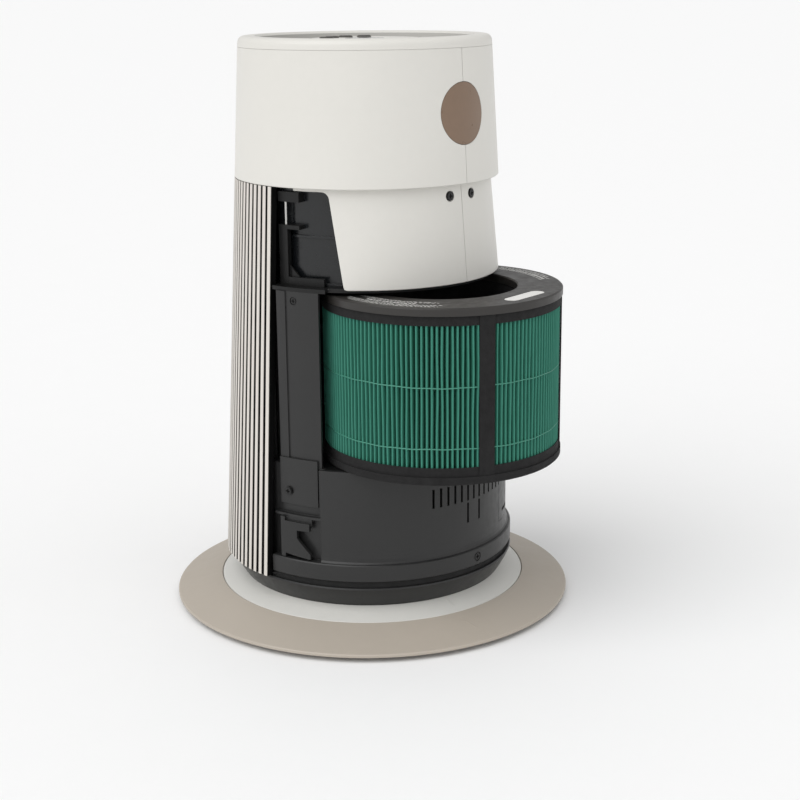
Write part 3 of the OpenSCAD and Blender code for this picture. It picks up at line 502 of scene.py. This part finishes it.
COMPONENT = Finish("component_case", srgb(22, 22, 24), rough=0.4, mottle=0.1)
KEY_GREY = Finish("key_plastic", srgb(90, 88, 85), rough=0.5, mottle=0.03, edge=0.3 * MM)
LABEL = Finish("label_film", srgb(226, 225, 222), rough=0.5, mottle=0.015)
PRINT = Finish("printed_ink", srgb(214, 213, 210), rough=0.6, mottle=0.12)
GLUE = Finish("glue_bead", srgb(66, 136, 116), rough=0.5, mottle=0.1, grain=500, grain_depth=0.0002)
FILTER_FRAME = Finish(
    "filter_frame", srgb(47, 45, 43), rough=0.42, mottle=0.07, grain=1000, specular=0.4, edge=0.4 * MM)
STEEL = BrushedMetal("bright_steel", srgb(200, 199, 196), rough=0.28, metal=1.0)
BALLAST = BrushedMetal(
    "ballast_steel", srgb(150, 150, 150), rough=0.45, metal=1.0, line_stretch=(1, 30, 1))
MOTOR_CAN = BrushedMetal("motor_can", srgb(190, 190, 190), rough=0.35, metal=1.0)
BOARD = CircuitBoard("circuit_board", srgb(18, 70, 38), rough=0.35)

FILTER_LOW, FILTER_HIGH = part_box("filter_top_ring")
FILTER_AXIS_Y = (FILTER_LOW.y + FILTER_HIGH.y) / 2
FILTER_R = (FILTER_HIGH.x - FILTER_LOW.x) / 2
RIB_LOW, RIB_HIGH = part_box("front_grille_ribs")
NECK_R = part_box("collar_left_shell")[1].x
NET = WovenMesh(
    "filter_net", srgb(6, 6, 6), rough=0.9, axis_y=FILTER_AXIS_Y, thread_colour=srgb(24, 23, 24))
SCREEN = WovenMesh(
    "intake_net", srgb(5, 5, 5), rough=0.9, thread=1.2 * MM, thread_colour=srgb(20, 20, 20))
# valley is the painted shade colour in the pleat valleys.
PAPER = PleatPaper(
    "filter_paper", srgb(54, 126, 108), rough=0.8, valley=srgb(32, 108, 88),
    axis_y=FILTER_AXIS_Y, ridge_r=FILTER_R - 2.0 * MM, valley_r=FILTER_R - 5 * MM,
)
RIB_WHITE = RibPlastic(
    "rib_plastic", srgb(212, 207, 200), rough=0.45, mottle=0.02, grain_depth=0.00003,
    foot_r=(RIB_HIGH.x - RIB_LOW.x) / 2, foot_z=RIB_LOW.z, neck_r=NECK_R, neck_z=RIB_HIGH.z,
)

CAD_FINISHES: dict[Finish, tuple[str, ...]] = {
    WHITE: ("skirt_left_shell", "skirt_right_shell", "collar_left_shell", "collar_right_shell", "top_ring",
            "control_pod"),
    TAUPE: ("base_outer_ring",),
    PALE_GREY: ("base_inner_ring",),
    DARK_GREY: ("foot_bowl", "front_housing", "lower_housing", "sensor_door", "left_post", "right_post",
                "left_post_bracket", "right_post_bracket"),
    HOOK_GREY: ("left_cover_hook", "right_cover_hook"),
    BLACK: ("bay_deck", "front_frame", "bay_top_plate", "bellmouth", "diffuser", "pin_brackets",
            "outlet_duct", "outlet_grille", "sensor_module"),
    FAN_BLACK: ("fan_housing",),
    GRILLE_BLACK: ("front_grille_shell",),
    RIB_WHITE: ("front_grille_ribs",),
    RUBBER: ("foot_pad",),
    FOAM: ("filter_seal",),
    BROWN: ("release_button",),
    IMPELLER_GREY: ("impeller",),
    SCREW_BLACK: ("housing_screws", "skirt_screws"),
    GLOSS_BLACK: ("power_inlet", "display_lens"),
    COMPONENT: ("power_board_parts",),
    KEY_GREY: ("power_button", "mode_button", "speed_button", "timer_button"),
    LABEL: ("filter_label",),
    FILTER_FRAME: ("filter_top_ring",),
    STEEL: ("sensor_door_pin", "catch_pins", "release_spring", "motor_shaft", "motor_rotor", "motor_bearings",
            "base_screws"),
    BALLAST: ("ballast_plate",),
    MOTOR_CAN: ("motor_body",),
    BOARD: ("power_board", "control_board"),
    NET: ("filter_core", "filter_trim", "filter_bottom_ring"),
}


class Wardrobe:
    """Builds each finish once and dresses objects in it."""

    def __init__(self) -> None:
        """Starts with no materials built."""
        self.built: dict[str, bpy.types.Material] = {}

    def get(self, finish: Finish) -> bpy.types.Material:
        """The finish's material, built on first use.

        Args:
            finish: The finish.

        Returns:
            Its material.
        """
        if finish.name not in self.built:
            self.built[finish.name] = finish.material()
        return self.built[finish.name]

    def dress(self, piece: bpy.types.Object, finish: Finish) -> None:
        """Gives a piece one finish all over.

        Args:
            piece: The mesh object.
            finish: Its finish.
        """
        piece.data.materials.clear()
        piece.data.materials.append(self.get(finish))

    def dress_cad(self) -> None:
        """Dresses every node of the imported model."""
        for finish, nodes in CAD_FINISHES.items():
            for node in nodes:
                self.dress(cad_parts[node], finish)
                LOG.info("dressed %s in %s", node, finish.name)
        bare = set(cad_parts) - {node for nodes in CAD_FINISHES.values() for node in nodes}
        LOG.info("nodes left to detailed pieces: %s", sorted(bare))


# ---------------------------------------------------------------------------
# Bench: the modelling moves shared by the sub-assemblies
# ---------------------------------------------------------------------------


class Bench:
    """Modelling moves made with the edit-mode operators."""

    @staticmethod
    def hold(piece: bpy.types.Object) -> None:
        """Makes a piece the only selection and the active one.

        Args:
            piece: The mesh object.
        """
        Bench.clear()
        piece.select_set(True)
        bpy.context.view_layer.objects.active = piece

    @staticmethod
    def clear() -> None:
        """Deselects everything."""
        if bpy.context.object and bpy.context.object.mode != "OBJECT":
            bpy.ops.object.mode_set(mode="OBJECT")
        bpy.ops.object.select_all(action="DESELECT")

    @staticmethod
    def adopt(name: str) -> bpy.types.Object:
        """Names the primitive that was just added.

        Args:
            name: The piece's name.

        Returns:
            The piece, still selected and active.
        """
        piece = bpy.context.object
        piece.name = name
        piece.data.name = name
        return piece

    @staticmethod
    def settle(piece: bpy.types.Object, angle: float = 40.0) -> bpy.types.Object:
        """Leaves edit mode, applies the place, points faces outwards and smooths by angle.

        Args:
            piece: The mesh object.
            angle: Edges sharper than this stay crisp, in degrees.

        Returns:
            The piece.
        """
        if piece.mode == "EDIT":
            bpy.ops.object.mode_set(mode="OBJECT")
        Bench.hold(piece)
        bpy.ops.object.transform_apply(location=True, rotation=True, scale=True)
        bpy.ops.object.mode_set(mode="EDIT")
        bpy.ops.mesh.select_all(action="SELECT")
        bpy.ops.mesh.remove_doubles(threshold=1e-6)
        bpy.ops.mesh.normals_make_consistent(inside=False)
        bpy.ops.object.mode_set(mode="OBJECT")
        bpy.ops.object.shade_smooth_by_angle(angle=math.radians(angle))
        return piece

    @staticmethod
    def lathe(name: str, profile: Sequence[ProfilePoint], centre: Point = (0, 0, 0),
              steps: int = 96) -> bpy.types.Object:
        """Turns a closed profile about an upright axis, starting from a circle.

        Args:
            name: The piece's name.
            profile: Radius and height of each point, going once round the section.
            centre: A point on the axis.
            steps: Points round the axis.

        Returns:
            The closed ring.
        """
        Bench.clear()
        first_r, first_z = profile[0]
        bpy.ops.mesh.primitive_circle_add(
            vertices=steps, radius=first_r, fill_type="NOTHING",
            location=(centre[0], centre[1], centre[2] + first_z))
        piece = Bench.adopt(name)
        bpy.ops.object.transform_apply(location=True, rotation=False, scale=False)
        bpy.ops.object.mode_set(mode="EDIT")
        bpy.ops.mesh.select_all(action="SELECT")
        last_r, last_z = first_r, first_z
        for radius, height in [*profile[1:], profile[0]]:
            bpy.ops.mesh.extrude_region_move()
            share = radius / last_r
            bpy.ops.transform.resize(value=(share, share, 1), center_override=(centre[0], centre[1], 0))
            bpy.ops.transform.translate(value=(0, 0, height - last_z))
            last_r, last_z = radius, height
        return Bench.settle(piece)

    @staticmethod
    def spin_copies(count: int, centre: Point) -> None:
        """Repeats what is selected in edit mode round an upright axis.

        Args:
            count: How many there are all round, the first one included.
            centre: A point on the axis.
        """
        turn = 2 * math.pi * (count - 1) / count
        bpy.ops.mesh.spin(steps=count - 1, dupli=True, angle=turn, center=centre, axis=(0, 0, 1))

    @staticmethod
    def keep_side(piece: bpy.types.Object, at: Point, towards: Point) -> bpy.types.Object:
        """Cuts a piece with a plane, keeps one side and closes the cut.

        Args:
            piece: The mesh object.
            at: A point on the plane.
            towards: The plane's normal, on the side that is kept.

        Returns:
            The piece.
        """
        Bench.hold(piece)
        bpy.ops.object.mode_set(mode="EDIT")
        bpy.ops.mesh.select_all(action="SELECT")
        bpy.ops.mesh.bisect(plane_co=at, plane_no=towards, use_fill=True, clear_inner=True)
        return Bench.settle(piece)

    @staticmethod
    def apply(piece: bpy.types.Object) -> None:
        """Applies every modifier on a piece.

        Args:
            piece: The mesh object.
        """
        Bench.hold(piece)
        for modifier in list(piece.modifiers):
            bpy.ops.object.modifier_apply(modifier=modifier.name)


# ---------------------------------------------------------------------------
# Filter
# ---------------------------------------------------------------------------


class PrintRow(NamedTuple):
    """One row of printed marks: radius, first and last bearing and height, in millimetres and degrees."""

    radius: float
    first: float
    last: float
    height: float


@dataclass
class PleatedFilter:
    """The pleated media of the cartridge, with its glue beads and printed marks."""

    wardrobe: Wardrobe
    pleats: int = 151
    rows: int = 20
    fold_r: float = 0.75 * MM
    glue_heights: tuple[float, ...] = (158 * MM, 204 * MM)
    glue_h: float = 0.7 * MM
    glue_depth: float = 1.6 * MM
    glue_wave: float = 0.35 * MM
    glue_ripple: float = 0.15 * MM
    fold_depth: float = 6 * MM
    paper_t: float = 0.12 * MM
    sway: float = 0.35 * MM
    print_gap: float = 0.9
    print_lift: float = 0.02 * MM
    print_t: float = 0.04 * MM
    bold: float = 2.0
    dot_share: float = 0.4
    print_rows: tuple[PrintRow, ...] = (
        PrintRow(70.5, -101, -52, 0.9), PrintRow(73, -101, -50, 0.9), PrintRow(77, -92, -62, 2.2),
        PrintRow(81, -103, -49, 0.9), PrintRow(83.5, -103, -52, 0.9), PrintRow(86, -100, -50, 0.9),
        PrintRow(78, 54, 98, 0.9), PrintRow(81, 56, 99, 2.2), PrintRow(84.5, 55, 100, 0.9),
        PrintRow(87, 60, 98, 0.9),
    )
    seed: int = 7
    low: Vector = field(default_factory=lambda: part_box("filter_media")[0])
    high: Vector = field(default_factory=lambda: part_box("filter_media")[1])

    @property
    def outer(self) -> float:
        """Radius of the folds.

        Returns:
            The radius of their tips.
        """
        return (self.high.x - self.low.x) / 2

    @property
    def centre(self) -> Point:
        """The axis at the foot of the media.

        Returns:
            A point on the axis.
        """
        return 0.0, (self.low.y + self.high.y) / 2, self.low.z

    def build(self) -> None:
        """Builds the media, the beads and the marks."""
        media = self.pleated_media()
        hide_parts("filter_media")
        self.fit(media, PAPER, "filter_paper")
        for number, height in enumerate(self.glue_heights, 1):
            self.fit(self.glue_bead(f"glue_bead_{number}", height), GLUE, "filter_paper")
        self.fit(self.printed_marks(), PRINT, "label_white")

    def fit(self, piece: bpy.types.Object, finish: Finish, slot: str) -> None:
        """Dresses a piece and rides it on the filter.

        Args:
            piece: The mesh object.
            finish: Its finish.
            slot: Not used.
        """
        self.wardrobe.dress(piece, finish)
        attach(piece, Body.FILTER.value)
        LOG.info("built %s", piece.name)

    def glue_bead(self, name: str, height: float) -> bpy.types.Object:
        """Turns a thin wavy bead that ties the folds together.

        Args:
            name: The piece's name.
            height: Its height above the floor.

        Returns:
            The bead.
        """
        _, y, _ = self.centre
        outer = self.outer + 0.02 * MM
        half = self.glue_h / 2
        inner, chamfer = outer - self.glue_depth, outer - 0.2 * MM
        section = [(inner, -half), (chamfer, -half), (outer, 0), (chamfer, half), (inner, half)]
        bead = Bench.lathe(name, [(r, height + z) for r, z in section], (0, y, 0), steps=self.pleats * 2)
        for vertex in bead.data.vertices:
            angle = math.atan2(vertex.co.y - y, vertex.co.x)
            wave = self.glue_wave * math.sin(5 * angle + height * 900)
            vertex.co.z += wave + self.glue_ripple * math.sin(23 * angle)
        return bead

    def printed_marks(self) -> bpy.types.Object:
        """Lays rows of generic dashes and dots on the end ring, then gives them their thickness.

        Returns:
            The marks as one piece.
        """
        rng = random.Random(self.seed)
        _, y, _ = self.centre
        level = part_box("filter_top_ring")[1].z + self.print_lift
        Bench.clear()
        bpy.ops.mesh.primitive_plane_add(size=1 * MM, location=(0, y, level))
        marks = Bench.adopt("printed_marks")
        bpy.ops.object.mode_set(mode="EDIT")
        bpy.ops.mesh.select_all(action="SELECT")
        bpy.ops.mesh.delete(type="VERT")
        for row in self.print_rows:
            bearing = float(row.first)
            while bearing < row.last:
                length = rng.uniform(1.0, 3.4) if row.height < self.bold else rng.uniform(1.4, 2.6)
                angle = math.radians(90 + bearing)
                reach = row.radius * MM
                spot = (reach * math.cos(angle), y + reach * math.sin(angle), level)
                if row.height > self.bold and rng.random() < self.dot_share:
                    bpy.ops.mesh.primitive_circle_add(
                        vertices=12, radius=row.height * MM / 2, fill_type="NGON", location=spot)
                else:
                    bpy.ops.mesh.primitive_plane_add(size=1, location=spot, rotation=(0, 0, angle))
                    bpy.ops.transform.resize(
                        value=(row.height * MM, length * MM, 1), orient_type="LOCAL",
                        orient_matrix=Matrix.Rotation(angle, 3, "Z"), center_override=spot)
                bearing += math.degrees((length + self.print_gap) / row.radius)
        bpy.ops.mesh.select_all(action="SELECT")
        bpy.ops.mesh.extrude_region_move(TRANSFORM_OT_translate={"value": (0, 0, self.print_t)})
        return Bench.settle(marks)

    def fold_section(self) -> list[ProfilePoint]:
        """One pleat seen from above, as (radius, share of the pitch).

        Returns:
            Points from one valley round the fold to the next valley.
        """
        outer, depth = self.outer, self.fold_depth
        pitch = 2 * math.pi * outer / self.pleats
        tip = self.fold_r
        points = [(outer - depth, 0.0), (outer - depth * 0.5, 0.17)]
        for step in range(7):
            angle = math.pi * (1 - step / 6)
            points.append((outer - tip + tip * math.sin(angle), 0.5 + tip * math.cos(angle) / pitch))
        points.append((outer - depth * 0.5, 0.83))
        return points

    def pleated_media(self) -> bpy.types.Object:
        """Extrudes one pleat upwards, repeats it round the axis and sways the folds.

        Returns:
            The media as one closed ring of paper.
        """
        Bench.clear()
        height = self.high.z - self.low.z
        x, y, z = self.centre
        section = self.fold_section()
        step = 2 * math.pi / self.pleats
        bpy.ops.mesh.primitive_circle_add(
            vertices=len(section) + 1, radius=1 * MM, fill_type="NOTHING", location=(x, y, z))
        media = Bench.adopt("pleated_media")
        bpy.ops.object.transform_apply(location=True, rotation=False, scale=False)
        mesh = media.data
        corners = [*section, (section[0][0], 1.0)]
        for vertex, (radius, share) in zip(mesh.vertices, corners):
            vertex.co = (x + radius * math.cos(share * step), y + radius * math.sin(share * step), z)
        closing = len(corners) - 1
        bpy.ops.object.mode_set(mode="EDIT")
        bpy.ops.mesh.select_mode(type="EDGE")
        bpy.ops.mesh.select_all(action="DESELECT")
        bpy.ops.object.mode_set(mode="OBJECT")
        for edge in mesh.edges:
            edge.select = set(edge.vertices) == {0, closing}
        bpy.ops.object.mode_set(mode="EDIT")
        bpy.ops.mesh.delete(type="EDGE")
        for _ in range(self.rows):
            bpy.ops.mesh.select_all(action="DESELECT")
            bpy.ops.object.mode_set(mode="OBJECT")
            top = max(vertex.co.z for vertex in mesh.vertices)
            for edge in mesh.edges:
                edge.select = all(mesh.vertices[i].co.z > top - 1e-6 for i in edge.vertices)
            bpy.ops.object.mode_set(mode="EDIT")
            bpy.ops.mesh.extrude_region_move()
            bpy.ops.transform.translate(value=(0, 0, height / self.rows))
        bpy.ops.mesh.select_all(action="SELECT")
        Bench.spin_copies(self.pleats, (x, y, z))
        bpy.ops.mesh.remove_doubles(threshold=2e-6)
        bpy.ops.object.mode_set(mode="OBJECT")
        self.sway_folds(media)
        media.modifiers.new("paper", "SOLIDIFY").thickness = self.paper_t
        Bench.apply(media)
        bpy.ops.object.shade_smooth_by_angle(angle=math.radians(50))
        return media

    def sway_folds(self, media: bpy.types.Object) -> None:
        """Lets each fold wander a little along its height, held at its two ends.

        Args:
            media: The pleated ring.
        """
        rng = random.Random(self.seed)
        phases = [(rng.uniform(0, math.tau), rng.uniform(0, math.tau), rng.uniform(0.4, 1))
                  for _ in range(self.pleats)]
        x, y, z = self.centre
        height = self.high.z - self.low.z
        for vertex in media.data.vertices:
            dx, dy = vertex.co.x - x, vertex.co.y - y
            radius = math.hypot(dx, dy)
            angle = math.atan2(dy, dx) % math.tau
            pleat = int(angle / math.tau * self.pleats) % self.pleats
            share = angle / math.tau * self.pleats - pleat
            lift = (vertex.co.z - z) / height
            first, second, size = phases[pleat]
            wander = math.sin(lift * 5.3 + first) + 0.6 * math.sin(lift * 11.7 + second)
            held = math.sin(math.pi * share) * math.sin(math.pi * min(max(lift, 0), 1)) ** 0.5
            angle += self.sway / self.outer * size * wander * held
            vertex.co.x = x + radius * math.cos(angle)
            vertex.co.y = y + radius * math.sin(angle)


# ---------------------------------------------------------------------------
# Lower body and front
# ---------------------------------------------------------------------------


@dataclass
class IntakeScreen:
    """Fine net that lines the inside of the front cover at the bay."""

    wardrobe: Wardrobe
    clearance: float = 0.5 * MM
    thickness: float = 0.4 * MM

    def build(self) -> None:
        """Builds the net, cuts it to the front half and dresses it."""
        low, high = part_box("front_frame")
        outer = (high.x - low.x) / 2 + self.clearance + self.thickness
        inner = outer - self.thickness
        section = [(inner, low.z), (outer, low.z), (outer, high.z), (inner, high.z)]
        screen = Bench.keep_side(Bench.lathe("intake_screen", section), (0, -3 * MM, 0), (0, -1, 0))
        self.wardrobe.dress(screen, SCREEN)
        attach(screen, Body.HOUSING.value)
        LOG.info("built %s", screen.name)


@dataclass
class FootTrim:
    """Black ring of painted shade in the groove over the bowl, and the marks on the base rings."""

    wardrobe: Wardrobe
    groove_depth: float = 3 * MM
    groove_h: float = 5.1 * MM
    shade_ring_t: float = 0.6 * MM
    mark_bearing: float = -14.0
    mark_h: float = 0.35 * MM
    mark_sink: float = 0.1 * MM
    tick_r: float = 113 * MM
    tick_w: float = 1.1
    arrow_r: float = 140 * MM
    arrow_w: float = 1.2
    rim_h: float = 2.2 * MM
    face_foot_r: float = 105.2 * MM

    def build(self) -> None:
        """Builds the black ring of painted shade in the groove and both marks."""
        # Painted shade: a black ring fills the groove where the band above shades it.
        self.fit(self.painted_shade_ring(), RUBBER, "black_plastic")
        tick = self.mark("base_tick", self.tick_r, [(-4, 0), (4, 0.6)], self.tick_w)
        self.fit(tick, PALE_GREY, "pale_grey_plastic")
        curve = [(-5.5, -3.2), (-4.2, -1.2), (-1.5, 0), (2, 0.6), (4.6, 1.6), (5.2, 3.2)]
        arrow = self.mark("base_arrow", self.arrow_r, curve, self.arrow_w)
        self.fit(arrow, TAUPE, "taupe_plastic")

    def fit(self, piece: bpy.types.Object, finish: Finish, slot: str) -> None:
        """Dresses a piece and rides it on the housing.

        Args:
            piece: The mesh object.
            finish: Its finish.
            slot: Not used.
        """
        self.wardrobe.dress(piece, finish)
        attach(piece, Body.HOUSING.value)
        LOG.info("built %s", piece.name)

    def painted_shade_ring(self) -> bpy.types.Object:
        """Turns the black ring of painted shade that lines the groove at the back, under the band.

        Returns:
            The half ring.
        """
        low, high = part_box("lower_housing")
        outer = (high.x - low.x) / 2 - self.groove_depth + self.shade_ring_t
        inner = outer - 2 * self.shade_ring_t
        z0 = low.z + 0.1 * MM
        z1 = low.z + self.groove_h - 0.1 * MM
        waist = (z0 + z1) / 2
        section = [(inner, z0), (outer, z0), (outer - 0.3 * MM, waist), (outer, z1), (inner, z1)]
        return Bench.keep_side(Bench.lathe("groove_painted_shade", section, steps=192), (0, 3.5 * MM, 0), (0, 1, 0))

    def mark(self, name: str, radius: float, stroke: Sequence[ProfilePoint],
             width: float) -> bpy.types.Object:
        """Raises a thin stroke on the disc's sloping face.

        Args:
            name: The piece's name.
            radius: Distance of its middle from the axis.
            stroke: Points outwards and sideways from its middle, in millimetres.
            width: Width of the stroke in millimetres.

        Returns:
            The stroke.
        """
        Bench.clear()
        angle = math.radians(90 + self.mark_bearing)
        across = Vector((-math.sin(angle), math.cos(angle), 0))
        out = Vector((math.cos(angle), math.sin(angle), 0))
        points = [out * (radius + u * MM) + across * (v * MM) for u, v in stroke]
        half = width * MM / 2
        bpy.ops.mesh.primitive_plane_add(size=1 * MM)
        piece = Bench.adopt(name)
        ahead = points[1] - points[0]
        corners = [*self.corners(points[0], ahead, half), *self.corners(points[1], ahead, half)]
        for vertex, place in zip(piece.data.vertices, corners):
            vertex.co = place
        for start, end in zip(points[1:], points[2:]):
            self.choose_end(piece)
            bpy.ops.mesh.extrude_region_move()
            bpy.ops.object.mode_set(mode="OBJECT")
            pair = list(piece.data.vertices)[-2:]
            for vertex, place in zip(pair, self.corners(end, end - start, half)):
                vertex.co = place
        bpy.ops.object.mode_set(mode="EDIT")
        bpy.ops.mesh.select_all(action="SELECT")
        bpy.ops.mesh.extrude_region_move(TRANSFORM_OT_translate={"value": (0, 0, self.mark_h)})
        return Bench.settle(piece)

    def corners(self, point: Vector, ahead: Vector, half: float) -> list[Vector]:
        """Both corners of a stroke at one point, laid on the disc.

        Args:
            point: The point on the stroke's middle line.
            ahead: The way the stroke runs.
            half: Half of its width.

        Returns:
            The right corner and the left one.
        """
        aside = Vector((-ahead.y, ahead.x, 0)).normalized() * half
        return [flat + Vector((0, 0, self.face_z(flat.length))) for flat in (point - aside, point + aside)]

    @staticmethod
    def choose_end(piece: bpy.types.Object) -> None:
        """Selects the newest edge of a strip and enters edit mode.

        Args:
            piece: The strip.
        """
        count = len(piece.data.vertices)
        newest = {count - 2, count - 1}
        for face in piece.data.polygons:
            face.select = False
        for vertex in piece.data.vertices:
            vertex.select = vertex.index in newest
        for edge in piece.data.edges:
            edge.select = set(edge.vertices) == newest
        bpy.ops.object.mode_set(mode="EDIT")
        bpy.ops.mesh.select_mode(type="EDGE")

    def face_z(self, radius: float) -> float:
        """Height of the base disc's face at a distance from the axis.

        Args:
            radius: The distance.

        Returns:
            The height, a hair under the face.
        """
        outer_low, outer_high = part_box("base_outer_ring")
        inner_low, inner_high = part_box("base_inner_ring")
        seam = (inner_high.x - inner_low.x) / 2
        rim = (outer_high.x - outer_low.x) / 2
        if radius > seam:
            foot = outer_low.z + self.rim_h
            share = (rim - radius) / (rim - seam)
            return foot + (outer_high.z - foot) * share - self.mark_sink
        share = (seam - radius) / (seam - self.face_foot_r)
        return outer_high.z + (inner_high.z - outer_high.z) * share - self.mark_sink


# ---------------------------------------------------------------------------
# Studio
# ---------------------------------------------------------------------------


@dataclass
class Studio:
    """Floor, room light, lamps and the camera."""

    camera_azimuth: float = 134.0
    camera_distance: float = 1.22619
    camera_height: float = 0.48664
    pitch: float = 15.024
    yaw: float = 1.1305
    roll: float = -0.5486
    lens: float = 70.667
    film_width: float = 36.0
    floor_size: float = 160.0
    room_light: float = 0.62
    key_light: float = 1.55
    fill_light: float = 0.35

    def build(self) -> None:
        """Builds the whole studio."""
        bpy.context.scene.view_settings.view_transform = "Standard"
        self.floor()
        self.light()
        self.camera()

    def axes(self) -> tuple[Vector, Vector]:
        """The level directions from the column to the camera and to the image's right.

        Returns:
            Both directions, one unit long.
        """
        azimuth = math.radians(self.camera_azimuth)
        back = Vector((math.sin(azimuth), -math.cos(azimuth), 0))
        right = Vector((math.cos(azimuth), math.sin(azimuth), 0))
        return back, right

    def camera(self) -> None:
        """Places the camera."""
        back, right = self.axes()
        pitch, yaw, roll = (math.radians(a) for a in (self.pitch, self.yaw, self.roll))
        ahead = right * (math.sin(yaw) * math.cos(pitch)) - back * (math.cos(yaw) * math.cos(pitch))
        ahead += Vector((0, 0, -math.sin(pitch)))
        level = right * math.cos(yaw) + back * math.sin(yaw)
        up = level.cross(ahead)
        side = level * math.cos(roll) + up * math.sin(roll)
        top = up * math.cos(roll) - level * math.sin(roll)
        data = bpy.data.cameras.new("camera")
        data.lens = self.lens
        data.sensor_width = self.film_width
        data.clip_start = 0.02
        data.clip_end = 200
        camera = bpy.data.objects.new("camera", data)
        bpy.context.scene.collection.objects.link(camera)
        place = Matrix((side, top, -ahead)).transposed().to_4x4()
        place.translation = back * self.camera_distance + Vector((0, 0, self.camera_height))
        camera.matrix_world = place
        bpy.context.scene.camera = camera
        LOG.info("camera at %s", tuple(round(v, 3) for v in camera.location))

    def floor(self) -> None:
        """Lays a plain pale floor."""
        Bench.clear()
        bpy.ops.mesh.primitive_plane_add(size=self.floor_size)
        floor = Bench.adopt("floor")
        finish = Finish("floor_paint", (0.94, 0.94, 0.94), rough=0.7, mottle=0.004, grain_depth=0.00001)
        floor.data.materials.append(finish.material())

    def sun(self, name: str, bearing: float, height: float, spread: float, strength: float) -> None:
        """Hangs one broad soft light, far away.

        Args:
            name: The light's name.
            bearing: Degrees from the camera's side of the column towards the image's right.
            height: Degrees above the floor.
            spread: Width of the light as the column sees it, in degrees.
            strength: Its power on a face turned to it.
        """
        back, right = self.axes()
        turn, lift = math.radians(bearing), math.radians(height)
        level = back * math.cos(turn) + right * math.sin(turn)
        towards = level * math.cos(lift) + Vector((0, 0, math.sin(lift)))
        data = bpy.data.lights.new(name, "SUN")
        data.angle = math.radians(spread)
        data.energy = strength
        lamp = bpy.data.objects.new(name, data)
        bpy.context.scene.collection.objects.link(lamp)
        lamp.rotation_euler = towards.to_track_quat("Z", "Y").to_euler()

    def light(self) -> None:
        """Sets the soft room light and two broad lamps."""
        world = bpy.data.worlds.new("room")
        bpy.context.scene.world = world
        world.use_nodes = True
        glow = world.node_tree.nodes["Background"]
        glow.inputs["Color"].default_value = (1, 1, 1, 1)
        glow.inputs["Strength"].default_value = self.room_light
        self.sun("key_light", -48, 48, 60, self.key_light)
        self.sun("fill_light", 60, 35, 70, self.fill_light)


def main() -> None:
    """Builds the sub-assemblies in order and reports each piece."""
    logging.basicConfig(level=logging.INFO, format="%(name)s: %(message)s")
    Studio().build()
    wardrobe = Wardrobe()
    wardrobe.dress_cad()
    PleatedFilter(wardrobe).build()
    IntakeScreen(wardrobe).build()
    FootTrim(wardrobe).build()


if __name__ == "__main__":
    main()
